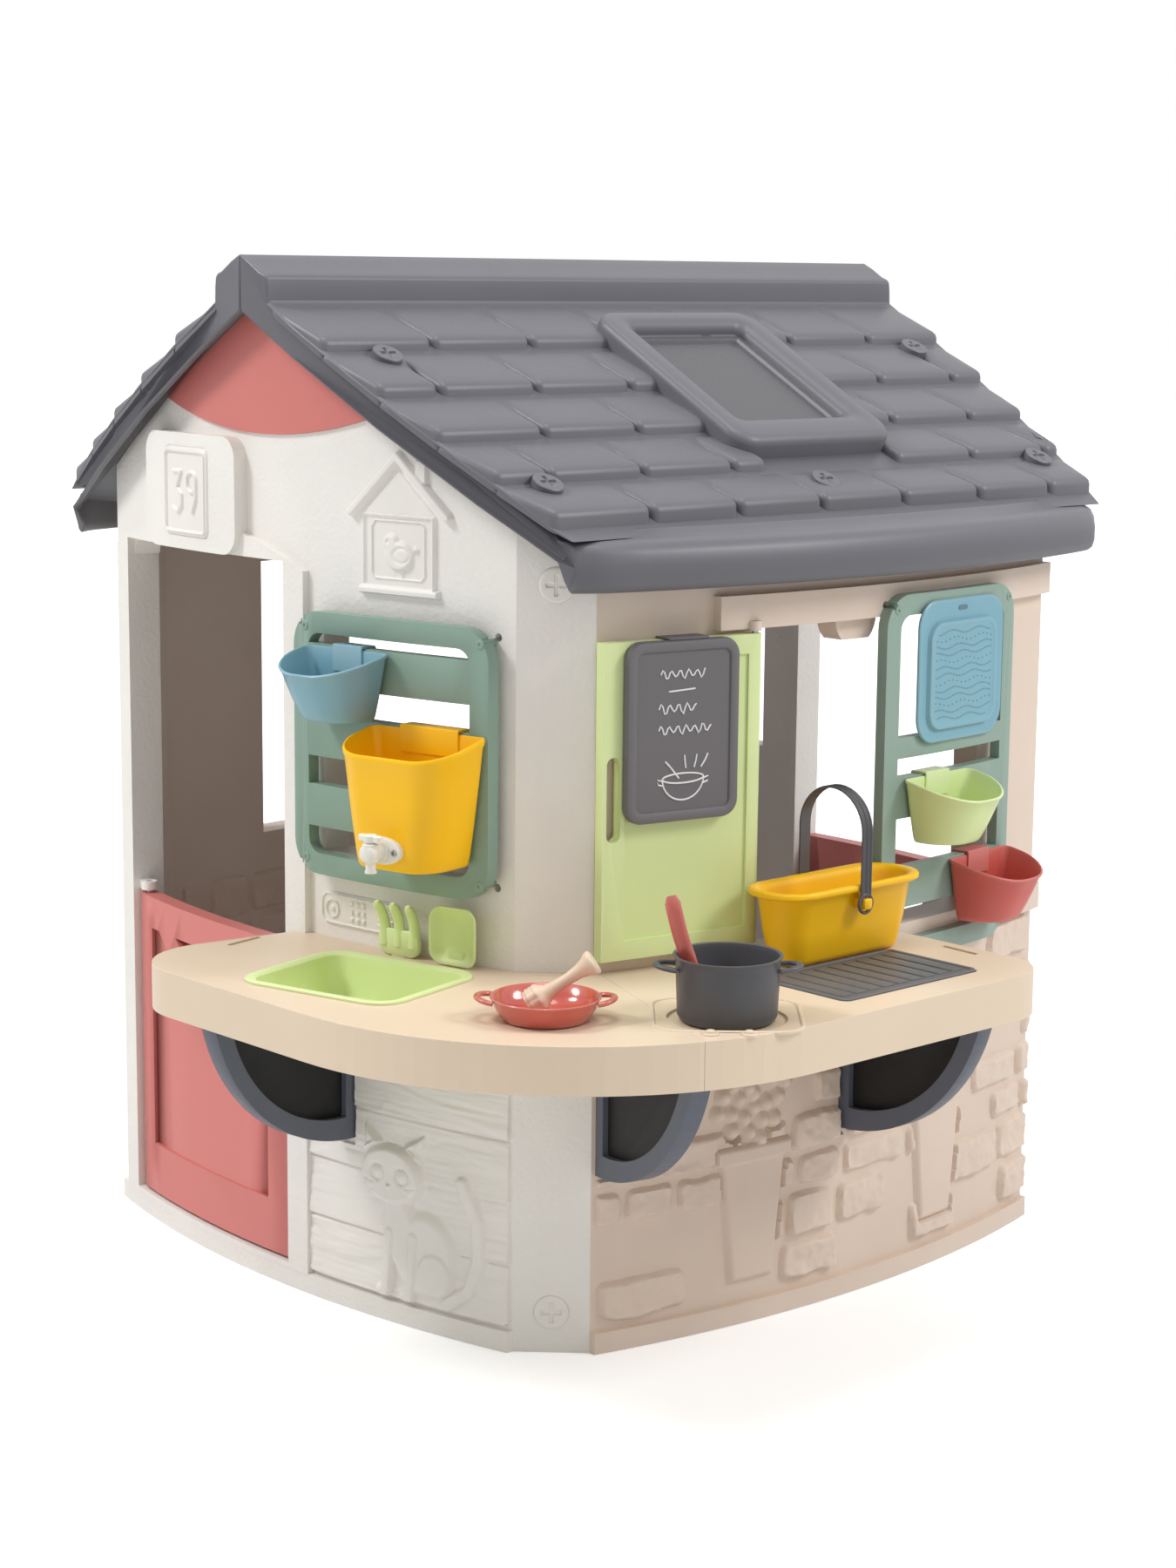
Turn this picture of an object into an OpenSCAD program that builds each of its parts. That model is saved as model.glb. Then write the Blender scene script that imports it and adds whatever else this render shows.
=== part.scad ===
// Plastic playhouse with a wrap-round play kitchen.
// Millimetres, +Z up. The house stands with its front gable towards -Y and the kitchen's long side
// towards +X. The origin is the bottom centre of the whole object's box.

/* [Walls] */
// Distance from the house centre to the chord of each bowed wall
wall_chord = 491; // [440:1:560]
// Half width of a bowed wall, between its corner pillars
wall_half = 423; // [380:1:460]
// How far the middle of a wall bows out past its chord
wall_bow = 55.5; // [40:0.5:75]
// Thickness of the hollow wall mouldings
wall_t = 40; // [32:1:50]
// Height of the base ledge round the walls
ledge_h = 27; // [18:1:40]
// How far the base ledge stands proud
ledge_proud = 9; // [5:1:14]
// Gap left at every seam between two mouldings
seam = 0.3; // [0.2:0.1:0.6]

/* [Roof] */
// Height of the ridge above the ground
ridge_z = 1350; // [1250:1:1500]
// Fall of the roof for each millimetre outwards
roof_slope = 0.555; // [0.45:0.005:0.65]
// Depth of the roof moulding under its tile plane
roof_t = 40; // [30:1:50]
// How far the verges reach past the gable walls
verge_reach = 38.5; // [30:0.5:60]
// How far the eaves reach past the side walls
eave_reach = 66; // [55:1:80]
// Depth of the skirt that hangs at the verges
skirt_drop = 56; // [48:1:70]
// Thickness of that skirt
skirt_t = 13; // [8:1:20]
// Half width of the ridge cap
ridge_half = 54; // [40:1:70]
// Width of the top row of tiles
tile_pitch = 103; // [90:1:115]
// How much narrower each row is than the one above it
tile_shrink = 6.5; // [4:0.5:8]
// Step down at the lower edge of a row
tile_step = 17; // [10:1:22]

/* [Door and windows] */
// Left edge of the doorway in the front wall
door_x0 = -361; // [-375:1:-340]
// Right edge of the doorway
door_x1 = 46; // [20:1:60]
// Height of the door sill
sill_h = 33; // [28:1:45]
// Top of the doorway
door_top = 965; // [900:1:990]
// Top of the half door
leaf_top = 465; // [400:1:500]
// Thickness of the half door
leaf_t = 24; // [18:1:28]
// Running gap round the half door
leaf_gap = 4; // [3:0.5:6]
// Width of the front window
window_w = 275; // [240:1:285]
// Centre of the front window
window_x = 252; // [248:1:256]
// Bottom and height of the front window
window_z = 600; // [580:1:620]
// Height of the front window
window_h = 285; // [260:1:300]
// Front edge of a side window, as a distance along the side wall
side_y0 = -190; // [-200:1:-180]
// Rear edge of a side window
side_y1 = 250; // [240:1:256]
// Sill height of a side window
side_z0 = 490; // [480:1:520]
// Top of a side window
side_z1 = 902; // [890:1:915]

/* [Shutters] */
// Width of a shutter
shutter_w = 233; // [210:1:236]
// Height of a shutter
shutter_h = 390; // [360:1:400]
// Thickness of a shutter
shutter_t = 16; // [12:1:18]
// Radius of the hinge pins
pin_r = 4; // [3:0.5:5]
// Running clearance on a hinge pin
pin_gap = 0.1; // [0.05:0.05:0.3]

/* [Trellises] */
// Width of the front trellis
trellis_w = 319; // [300:1:330]
// Height of the front trellis
trellis_h = 335; // [320:1:345]
// Width of the side trellis
side_trellis_w = 284; // [260:1:290]
// Height of the side trellis
side_trellis_h = 483; // [470:1:488]
// Thickness of both trellises
trellis_t = 16; // [12:1:18]
// Outer face of a trellis, past the wall
trellis_proud = 30; // [26:1:34]
// Width of the frame bars
rail_w = 27; // [22:1:32]
// Height of a slat
slat_h = 54; // [45:1:58]

/* [Counter] */
// Top of the counter
counter_z = 487; // [440:1:500]
// Depth of the counter's lip
lip_h = 57; // [45:1:70]
// Thickness of the deck
deck_t = 14; // [10:1:20]
// Thickness of the lip
lip_t = 12; // [8:1:16]
// Reach of the front counter from the house centre
front_reach = 812; // [790:1:840]
// Reach of the side counter from the house centre
side_reach = 840; // [820:1:860]
// Radius of the big outer corner
corner_r = 417; // [380:1:430]
// Rear end of the side counter
side_end = 40; // [30:1:45]
// Radius of the quarter-round brackets under the counter
bracket_r = 243; // [215:1:246]
// Thickness of the brackets
bracket_t = 26; // [20:1:30]

/* [Kitchen] */
// Length of the basin
basin_l = 232; // [210:1:240]
// Width of the basin
basin_w = 196; // [180:1:200]
// Depth of the basin
basin_d = 54; // [40:1:60]
// Outer radius of the pot
pot_r = 64; // [55:1:70]
// Height of the pot
pot_h = 78; // [60:1:90]
// Outer radius of the pan
pan_r = 65; // [55:1:68]
// Height of the pan
pan_h = 28; // [22:1:32]
// Length of the basket
basket_l = 266; // [240:1:270]
// Width of the basket
basket_w = 100; // [90:1:104]
// Height of the basket
basket_h = 98; // [85:1:105]
// Wall of the thin toy mouldings
toy_wall = 2.5; // [2:0.5:4]
// Gap under a piece that only rests on another
rest_gap = 0.3; // [0.1:0.1:0.5]

/* [Hidden] */
$fn = 48;
arc_fn = 240;

white = [0.93, 0.91, 0.88];
beige = [0.86, 0.78, 0.70];
tan = [0.86, 0.77, 0.66];
slate = [0.44, 0.44, 0.47];
coral = [0.80, 0.35, 0.30];
green = [0.76, 0.83, 0.53];
sage = [0.50, 0.61, 0.54];
blue = [0.53, 0.70, 0.77];
yellow = [0.97, 0.73, 0.06];
charcoal = [0.25, 0.25, 0.27];
steel = [0.75, 0.76, 0.78];

big = 700;
wall_r = (wall_half * wall_half + wall_bow * wall_bow) / (2 * wall_bow);
arc_cy = wall_r - wall_chord - wall_bow;
roof_angle = atan(roof_slope);
tile_z = ridge_z - 15;
rail_proud = 13.5;
post_in = 14;
post_mid = 27;
panel_proud = 4;
gable_dip = 1124;
gable_r = 753;
surround_w = 40;
surround_proud = 10;
block_proud = 20;
block_half = 115;
block_top = 1118;
block_corner_r = 28;
arch_r = 620;
door_mid = (door_x0 + door_x1) / 2;
plaque_w = 112;
plaque_h = 118;
plaque_t = 6;
lug_h = 12;
lug_gap = 3;
pin_len = 34;
leaf_out = 4;
side_top = 1015;
corner_out = (wall_chord + wall_half) / sqrt(2);
tab_r = 38;
shutter_out = 4;
plug_r = 9;
plug_shaft_r = 5;
plug_shaft_l = trellis_proud + 14;
corner_screw_zs = [52, 962];
screw_head_r = 22;
screw_head_t = 5;
screw_shaft_r = 6;
screw_gap = 0.3;
head_sink = 3;
boss_u = 0;
verge_screw_x = 185;
corner_screw_x = 447;
corner_screw_y = 462;
side_screw_x = 470;
roof_shaft_r = 5;
roof_head_r = 20;
roof_shaft_l = roof_t + 25;
gutter_x = 555;
gutter_z = 1022;
sky_along = 304;
sky_y = 50;
sky_l = 330;
sky_w = 300;
sky_proud = 16;
pane_l = 231;
pane_w = 210;
shutter_z0 = side_z0 + 15;
rear_shutter_w = side_y1 - side_y0 + 12 - shutter_w - 6;
front_trellis = [window_x, 575, trellis_w, trellis_h];
side_trellis = [147, 445, side_trellis_w, side_trellis_h];
front_slats = [816, 727, 637];
side_slats = [636, 517];
side_bar_z = 715;
deck_under = counter_z - deck_t;
peg_r = 6;
peg_l = 14;
peg_zs = [counter_z - 225, counter_z - 60];
bracket_us = [157, -405, -20];
basin_at = [327, -657];
basin_turn = 14;
flange = 10;
pot_at = [750, -453];
ring_sink = 3;
pan_at = [620, -617];
plate_at = [715, -172];
plate_l = 244;
plate_w = 150;
plate_t = 5;
basket_at = [613, -124];
stud_r = 7;
stud_z = 74;
bail_t = 3;
bail_w = 18;
bail_h = 142;
cup_w = 142;
cup_d = 88;
cup_h = 88;
hook_t = 3;
back_gap = 1;
tank_u = 322;
tank_w = 176;
tank_d = 92;
tank_z = 618;
tank_h = 160;
tap_z = 645;
tap_r = 9;
board_w = 162;
board_h = 222;
board_t = 13;
sieve_w = 190;
sieve_h = 187;
sieve_t = 9;
sieve_u = 153;
sieve_z = 730;
tool_us = [263, 352];
tool_w = 26;
tool_t = 8;
house_x = -(side_reach - (wall_chord + wall_bow + eave_reach)) / 2;
house_y = (front_reach - (wall_chord + wall_bow + verge_reach)) / 2;
leaf_x0 = door_x0 + leaf_gap;
leaf_x1 = door_x1 - leaf_gap;
leaf_z0 = sill_h + leaf_gap;
pivot_x = leaf_x0 + leaf_t / 2;
pivot_out = leaf_out - leaf_t / 2;

function roof_at(x) = tile_z - roof_slope * abs(x);
function row_edge(i) = ridge_half + i * tile_pitch - tile_shrink * i * (i - 1) / 2;
function unit(v) = v / norm(v);
// Points of one rounded corner at b, between its neighbours a and c
function corner_arc(a, b, c, r, steps) =
    let (u = unit(a - b), v = unit(c - b), half = acos(u * v) / 2,
        centre = b + unit(u + v) * r / sin(half),
        start = b + u * r / tan(half) - centre,
        turn = (180 - 2 * half) * sign(u[0] * v[1] - u[1] * v[0]) * -1)
    [for (k = [0:steps]) let (t = turn * k / steps)
        centre + [start[0] * cos(t) - start[1] * sin(t), start[0] * sin(t) + start[1] * cos(t)]];

// The outline of a rectangle with rounded corners, as a closed list of points
function round_rect(w, d, r) =
    let (c = [[-w, -d] / 2, [w, -d] / 2, [w, d] / 2, [-w, d] / 2])
    [for (k = [0:3]) each corner_arc(c[(k + 3) % 4], c[k], c[(k + 1) % 4], r, 8)];

// ---------- helpers ----------

module to_origin() {
    translate([house_x, house_y, 0]) children();
}

// Extrudes a drawing of x and z along Y, from y0 to y1
module across(y0, y1) {
    translate([0, y1, 0]) rotate([90, 0, 0]) linear_extrude(y1 - y0) children();
}

// A drawing of the front wall's face, given the wall's bow: from out to out - t past its surface
module bowed(out, t) {
    intersection() {
        translate([0, arc_cy, -1]) difference() {
            cylinder(r = wall_r + out, h = ridge_z + 2, $fn = arc_fn);
            translate([0, 0, -1]) cylinder(r = wall_r + out - t, h = ridge_z + 4, $fn = arc_fn);
        }
        across(-big, -wall_chord + 2 * wall_t) children();
    }
}

// A place on the front wall: u along it, off past its surface, with -Y pointing outwards
module on_wall(u, off) {
    translate([0, arc_cy, 0]) rotate([0, 0, asin(u / wall_r)])
        translate([0, -wall_r - off, 0]) children();
}

module right_side() {
    rotate([0, 0, 90]) children();
}

module left_side() {
    mirror([1, 0, 0]) right_side() children();
}

module rear_side() {
    rotate([0, 0, 180]) children();
}

module four_corners() {
    for (a = [45, 135, 225, 315]) rotate([0, 0, a]) children();
}

// Everything inside the outer faces of the front and right walls, grown by c
module house_core(c) {
    intersection() {
        translate([0, arc_cy, -1]) cylinder(r = wall_r + c, h = ridge_z, $fn = arc_fn);
        translate([-arc_cy, 0, -1]) cylinder(r = wall_r + c, h = ridge_z, $fn = arc_fn);
        rotate([0, 0, 45]) cube([2 * corner_out + 2 * c, 2 * corner_out + 2 * c, 3 * ridge_z], center = true);
    }
}

module rounded_box(w, d, h, r) {
    linear_extrude(h) rounded_square(w, d, r);
}

module rounded_square(w, d, r) {
    square([w - 2 * r, d], center = true);
    square([w, d - 2 * r], center = true);
    for (sx = [-1, 1], sy = [-1, 1]) translate([sx * (w / 2 - r), sy * (d / 2 - r)]) circle(r);
}

// The section of everything below the roof's underside, less a drop from the tile plane
module below_roof(drop) {
    polygon([[-big, 0], [big, 0], [big, roof_at(big) - drop], [0, roof_at(0) - drop],
        [-big, roof_at(big) - drop]]);
}

module under_roof(drop) {
    intersection() {
        below_roof(drop);
        rect(-wall_half, wall_half, 0, ridge_z);
    }
}

module rect(x0, x1, z0, z1) {
    translate([x0, z0]) square([x1 - x0, z1 - z0]);
}

// ---------- walls ----------

module gable_disc(grow) {
    translate([0, gable_dip + gable_r]) circle(r = gable_r + grow, $fn = arc_fn);
}

module doorway() {
    rect(door_x0, door_x1, sill_h, door_top);
}

// The raised band round the doorway, whose top is a flat arch
module door_surround() {
    intersection() {
        rect(door_x0 - surround_w, door_x1 + surround_w, ledge_h - 2, door_top + surround_w);
        translate([door_mid, door_top + surround_w - arch_r]) circle(r = arch_r, $fn = arc_fn);
    }
}

module pillar() {
    intersection() {
        linear_extrude(ridge_z) polygon([[wall_half, -wall_chord], [wall_chord, -wall_half],
            [wall_chord - wall_t, -wall_half], [wall_half, -wall_chord + wall_t]]);
        across(-big, big) below_roof(roof_t + seam);
    }
}

// The lug over the half door's hinge edge
module door_lug() {
    on_wall(pivot_x, pivot_out) translate([0, 0, leaf_top + leaf_gap]) {
        cylinder(r = leaf_t / 2 - 1, h = lug_h);
        translate([-leaf_t / 2 - leaf_gap - 8, -8, 0]) cube([leaf_t / 2 + leaf_gap + 8, 16, lug_h]);
    }
}

module at_door_pins() {
    on_wall(pivot_x, pivot_out) {
        translate([0, 0, sill_h - lug_h]) children();
        translate([0, 0, leaf_top + leaf_gap + lug_h - pin_len]) children();
    }
}

module gable_wall() {
    difference() {
        union() {
            bowed(0, wall_t) difference() {
                under_roof(roof_t + seam);
                gable_disc(seam);
                doorway();
                rect(window_x - window_w / 2, window_x + window_w / 2, window_z, window_z + window_h);
            }
            bowed(ledge_proud, ledge_proud + 5) rect(-wall_half, wall_half, 0, ledge_h);
            bowed(surround_proud, surround_proud + 5) difference() {
                door_surround();
                doorway();
            }
            intersection() {
                bowed(-post_in, wall_t - post_in) for (side = [-1, 1])
                    rect(side * (verge_screw_x - 20) - 30, side * (verge_screw_x - 20) + 30, 1100, ridge_z);
                across(-big, big) below_roof(roof_t + seam);
            }
            bowed(block_proud, block_proud + 5) translate([door_mid, (door_top + block_top) / 2])
                polygon(round_rect(2 * block_half, block_top - door_top, block_corner_r));
            for (side = [0, 1]) mirror([side, 0, 0]) pillar();
            door_lug();
        }
        at_door_pins() translate([0, 0, -0.2]) cylinder(r = pin_r + pin_gap, h = pin_len + 0.4);
        plaque_place(-1) rounded_box(plaque_w + 2 * seam, plaque_h + 2 * seam, plaque_t, 10);
        at_plugs(front_trellis) cylinder(r = plug_shaft_r + 0.2, h = plug_shaft_l + 1);
        peg_holes(bracket_us[0]);
        for (side = [0, 1]) mirror([side, 0, 0]) {
            corner_screw_cuts();
            corner_head_cuts();
        }
        roof_screw_cuts();
    }
}

module plaque_place(off) {
    on_wall(door_mid, block_proud + off) translate([0, 0, (door_top + block_top) / 2])
        rotate([90, 0, 0]) translate([0, 0, -plaque_t / 2]) children();
}

module outward_under_roof() {
    rotate([0, 0, -90]) across(-big, big) below_roof(roof_t + seam);
}

// The rear shutter's lugs are there only where no trellis covers them
module side_wall(rear_lugs) {
    difference() {
        union() {
            intersection() {
                bowed(0, wall_t) difference() {
                    rect(-wall_half, wall_half, 0, side_top);
                    rect(side_y0, side_y1, side_z0, side_z1);
                }
                outward_under_roof();
            }
            intersection() {
                translate([boss_u - 25, -wall_chord - 20, side_top - 90]) cube([50, 95, 150]);
                outward_under_roof();
            }
            bowed(ledge_proud, ledge_proud + 5) rect(-wall_half, wall_half, 0, ledge_h);
            bowed(rail_proud, 20) rect(-260, wall_half, side_z1 - 2, side_z1 + 40);
            sill_rail(0);
            intersection() {
                bowed(-2, wall_t - 8) translate([-20, side_z1]) circle(tab_r);
                bowed(0, wall_t) rect(-100, 60, side_z1 - 29, side_z1 + 20);
            }
            for (side = [0, 1]) mirror([side, 0, 0]) corner_flange();
            shutter_place(shutter_w) shutter_lugs(shutter_w);
            if (rear_lugs) mirror([1, 0, 0]) shutter_place(rear_shutter_w, -side_y1)
                shutter_lugs(rear_shutter_w);
        }
        for (side = [0, 1]) mirror([side, 0, 0]) corner_screw_cuts();
        at_plugs(side_trellis) cylinder(r = plug_shaft_r + 0.2, h = plug_shaft_l + 1);
        for (k = [1, 2]) peg_holes(bracket_us[k]);
        side_roof_screw_cuts();
        shutter_place(shutter_w) shutter_pin_cuts(shutter_w);
        if (rear_lugs) mirror([1, 0, 0]) shutter_place(rear_shutter_w, -side_y1)
            shutter_pin_cuts(rear_shutter_w);
    }
}

module sill_rail(grow) {
    bowed(rail_proud + grow, 20 + grow) rect(side_y0 - 16 - grow, wall_half, side_z0 - 36 - grow, side_z0 + grow);
}

// The strip of a side wall that runs behind the corner pillar, where the screws hold it
module corner_flange() {
    inner = wall_chord - wall_t;
    s = seam * sqrt(2);
    linear_extrude(side_top - 30) polygon([[wall_half - 23, -inner - 14],
        [wall_half - 0.1, -inner + s - 0.1], [wall_half + 22, -inner + s + 22],
        [wall_half + 6, -inner + 38], [wall_half - 23, -inner + 11]]);
}

// ---------- fasteners ----------

module corner_screw_cuts() {
    rotate([0, 0, 45]) for (z = corner_screw_zs)
        translate([0, -corner_out, z]) rotate([90, 0, 0])
            translate([0, 0, -60]) cylinder(r = screw_shaft_r + screw_gap, h = 100);
}

module corner_head_cuts() {
    rotate([0, 0, 45]) for (z = corner_screw_zs)
        translate([0, -corner_out + head_sink, z]) rotate([90, 0, 0])
            cylinder(r = screw_head_r + screw_gap, h = 20);
}

module big_screw(head_r, head_t, shaft_r, shaft_l) {
    translate([0, 0, -shaft_l]) cylinder(r = shaft_r, h = shaft_l + head_t / 2);
    difference() {
        cylinder(r = head_r, h = head_t);
        for (a = [0, 90]) rotate([0, 0, a]) translate([0, 0, head_t])
            cube([head_r, head_r / 5, head_t], center = true);
    }
}

module corner_screws() {
    color(white) four_corners() for (z = corner_screw_zs)
        translate([0, -corner_out + head_sink - rest_gap, z])
            rotate([90, 0, 0]) big_screw(screw_head_r, screw_head_t, screw_shaft_r, 40);
}

// The five screws of one roof half: two over the gables, two at the corners, one over the side wall
module at_roof_screws() {
    for (side = [0, 1]) mirror([0, side, 0]) {
        tilt_on_roof(verge_screw_x, -sqrt(pow(wall_r - post_mid, 2) - pow(verge_screw_x, 2)) + arc_cy)
            children();
        tilt_on_roof(corner_screw_x, -corner_screw_y) children();
    }
    tilt_on_roof(side_screw_x, boss_u) children();
}

module tilt_on_roof(x, y) {
    translate([x, y, roof_at(x)]) rotate([0, roof_angle, 0]) children();
}

module both_roof_halves() {
    for (a = [0, 180]) rotate([0, 0, a]) children();
}

// Pilot holes in a wall; the side walls stand a quarter turn from the gable walls
module roof_screw_cuts() {
    both_roof_halves() at_roof_screws() translate([0, 0, -roof_shaft_l - 3])
        cylinder(r = roof_shaft_r + screw_gap, h = roof_shaft_l);
}

module side_roof_screw_cuts() {
    rotate([0, 0, -90]) tilt_on_roof(side_screw_x, boss_u) translate([0, 0, -roof_shaft_l - 3])
        cylinder(r = roof_shaft_r + screw_gap, h = roof_shaft_l);
}

module roof_screws() {
    color(slate) both_roof_halves() at_roof_screws() translate([0, 0, rest_gap])
        big_screw(roof_head_r, screw_head_t, roof_shaft_r, roof_shaft_l);
}

// ---------- roof ----------

roof_top = concat(
    [[seam, ridge_z], [ridge_half, roof_at(ridge_half) + 12]],
    [for (i = [0:4]) each [[row_edge(i) + 0.01, roof_at(row_edge(i)) - tile_step],
        [row_edge(i + 1), roof_at(row_edge(i + 1))]]],
    [[row_edge(5) + 1, roof_at(row_edge(5)) - 24], [gutter_x - 12, roof_at(gutter_x) - 12],
        [gutter_x, gutter_z], [gutter_x + 13, gutter_z]]);

module roof_skin() {
    lip = wall_chord + wall_bow + eave_reach;
    polygon(concat(roof_top, [[lip, gutter_z - 62], [lip - 10, gutter_z - 66],
        [gutter_x + 3, roof_at(gutter_x + 3) - roof_t], [seam, roof_at(0) - roof_t]]));
}

module roof_skirt() {
    lip = wall_chord + wall_bow + eave_reach;
    polygon(concat(roof_top, [[lip, gutter_z - 62], [lip - 10, gutter_z - 66],
        [gutter_x - 40, roof_at(gutter_x - 40) - skirt_drop], [seam, roof_at(0) - skirt_drop]]));
}

// The space between two arcs past the gable walls
module verge_disc(reach) {
    translate([0, arc_cy, 0]) cylinder(r = wall_r + reach, h = ridge_z + 1, $fn = arc_fn);
}

module roof_half() {
    difference() {
        intersection() {
            union() {
                across(-big, big) roof_skin();
                intersection() {
                    across(-big, big) roof_skirt();
                    union() for (side = [0, 1]) mirror([0, side, 0]) difference() {
                        translate([0, -big, 0]) cube([big, big, ridge_z + 1]);
                        verge_disc(verge_reach - skirt_t);
                    }
                }
                at_roof_screws() translate([0, 0, -24]) cylinder(r = roof_head_r + 3, h = 24);
                skylight_frame();
            }
            verge_disc(verge_reach);
            mirror([0, 1, 0]) verge_disc(verge_reach);
            rotate([0, 0, 90]) verge_disc(eave_reach);
        }
        at_roof_screws() translate([0, 0, -roof_t - 30]) cylinder(r = roof_shaft_r + screw_gap, h = 100);
        skylight_hole();
    }
}

module on_slope(along, y, up) {
    translate([0, y, tile_z]) rotate([0, roof_angle, 0]) translate([along, 0, up]) children();
}

module skylight_frame() {
    on_slope(sky_along, sky_y, -25) rounded_box(sky_l, sky_w, 25 + sky_proud, 22);
}

module skylight_hole() {
    on_slope(sky_along - 12, sky_y, -60) rounded_box(pane_l - 24, pane_w - 24, 100, 14);
    on_slope(sky_along - 12, sky_y, sky_proud - 10) rounded_box(pane_l, pane_w, 20, 18);
}

module skylight() {
    color([0.25, 0.2, 0.18, 0.6]) on_slope(sky_along - 12, sky_y, sky_proud - 10 + rest_gap)
        rounded_box(pane_l - 2 * seam, pane_w - 2 * seam, 4, 18 - seam);
}

// ---------- gables ----------

module gable_panel() {
    color(coral) bowed(panel_proud, panel_proud + post_in - seam) intersection() {
        under_roof(roof_t + seam);
        gable_disc(0);
    }
}

module number_plaque() {
    color(white) plaque_place(0) {
        rounded_box(plaque_w, plaque_h, plaque_t, 10);
        for (x = [-20, 20]) translate([x, 0, plaque_t - 1]) difference() {
            rounded_box(28, 60, 3, 10);
            translate([0, 0, -1]) rounded_box(12, 42, 6, 5);
        }
    }
}

// ---------- doors and shutters ----------

module half_door() {
    color(coral) difference() {
        union() {
            bowed(leaf_out, leaf_t) rect(pivot_x, leaf_x1, leaf_z0, leaf_top);
            on_wall(pivot_x, pivot_out) translate([0, 0, leaf_z0])
                cylinder(r = leaf_t / 2 - 0.5, h = leaf_top - leaf_z0, $fn = 12);
        }
        bowed(leaf_out + 1, 6) difference() {
            rect(leaf_x0 + 46, leaf_x1 - 46, leaf_z0 + 72, leaf_top - 44);
            door_frame_v(26);
        }
        bowed(leaf_out + 1, leaf_t + 2) door_frame_v(0);
        at_door_pins() translate([0, 0, -0.2]) cylinder(r = pin_r + pin_gap, h = pin_len + 0.4);
    }
}

// The notch under the top rail, grown by the width of its border
module door_frame_v(grow) {
    mid = (leaf_x0 + leaf_x1) / 2;
    polygon([[mid - 78 - 2 * grow, leaf_top - 44], [mid, leaf_top - 130 - 1.4 * grow],
        [mid + 78 + 2 * grow, leaf_top - 44]]);
}

module door_pins() {
    color(steel) for (a = [0, 180]) rotate([0, 0, a]) at_door_pins() cylinder(r = pin_r, h = pin_len);
}

// The place of a shutter that lies open on the wall, hinged at the window's edge
module shutter_place(w, edge = side_y0) {
    on_wall(edge - 7 - w / 2, shutter_out) children();
}

module shutter_lugs(w) {
    for (z = [shutter_z0 - lug_gap - lug_h, shutter_z0 + shutter_h + lug_gap]) translate([0, 0, z]) {
        translate([w / 2 - shutter_t / 2, -shutter_t / 2, 0]) cylinder(r = shutter_t / 2, h = lug_h);
        translate([w / 2 - shutter_t, -shutter_t / 2, 0]) cube([shutter_t, shutter_t / 2 + 26, lug_h]);
    }
}

module at_shutter_pins(w) {
    for (z = [shutter_z0 - lug_gap - lug_h, shutter_z0 + shutter_h + lug_gap + lug_h - pin_len])
        translate([w / 2 - shutter_t / 2, -shutter_t / 2, z]) children();
}

module shutter_pin_cuts(w) {
    at_shutter_pins(w) translate([0, 0, -0.2]) cylinder(r = pin_r + pin_gap, h = pin_len + 0.4);
}

module shutter(w) {
    color(green) difference() {
        union() {
            translate([-w / 2, -shutter_t, shutter_z0]) cube([w - shutter_t / 2, shutter_t, shutter_h]);
            translate([w / 2 - shutter_t / 2, -shutter_t / 2, shutter_z0])
                cylinder(r = shutter_t / 2 - 0.4, h = shutter_h);
        }
        translate([-w / 2 + 32, -shutter_t - 1, shutter_z0 + 24])
            cube([w - 54, 4, shutter_h - 48]);
        translate([-w / 2 + 16, 0, shutter_z0 + shutter_h / 2 + 4]) rotate([90, 0, 0])
            translate([0, 0, -5]) linear_extrude(shutter_t + 10) rounded_square(20, 104, 9);
        shutter_pin_cuts(w);
    }
}

module shutter_pins() {
    color(steel) {
        right_side() shutter_place(shutter_w) at_shutter_pins(shutter_w) cylinder(r = pin_r, h = pin_len);
        left_side() shutter_place(shutter_w) at_shutter_pins(shutter_w) cylinder(r = pin_r, h = pin_len);
        left_side() mirror([1, 0, 0]) shutter_place(rear_shutter_w, -side_y1)
            at_shutter_pins(rear_shutter_w) cylinder(r = pin_r, h = pin_len);
    }
}

// ---------- trellises ----------
// A trellis is given as [centre along the wall, bottom, width, height]

module at_plugs(t) {
    for (sx = [-1, 1], top = [0, 1]) on_wall(t[0] + sx * (t[2] - rail_w) / 2, trellis_proud)
        translate([0, 0, t[1] + rail_w / 2 + top * (t[3] - rail_w)]) rotate([-90, 0, 0]) children();
}

module trellis(t, slats, bar_h) {
    color(sage) difference() {
        bowed(trellis_proud, trellis_t) {
            difference() {
                translate([t[0], t[1] + t[3] / 2]) polygon(round_rect(t[2], t[3], 44));
                translate([t[0], t[1] + t[3] / 2])
                    polygon(round_rect(t[2] - 2 * rail_w, t[3] - 2 * rail_w, 20));
            }
            for (k = [0:len(slats) - 1])
                rect(t[0] - t[2] / 2 + rail_w / 2, t[0] + t[2] / 2 - rail_w / 2, slats[k],
                    slats[k] + bar_h[k]);
        }
        at_plugs(t) cylinder(r = plug_shaft_r + 0.2, h = plug_shaft_l + 1);
    }
}

module plugs(t, spacer) {
    at_plugs(t) {
        translate([0, 0, -1]) cylinder(r = plug_shaft_r, h = plug_shaft_l + 1);
        translate([0, 0, -4]) cylinder(r = plug_r, h = 4 - rest_gap);
        if (spacer) translate([0, 0, trellis_t + rest_gap])
            cylinder(r = plug_r, h = trellis_proud - trellis_t - 2 * rest_gap - 1);
    }
}

// ---------- counter ----------

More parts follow.
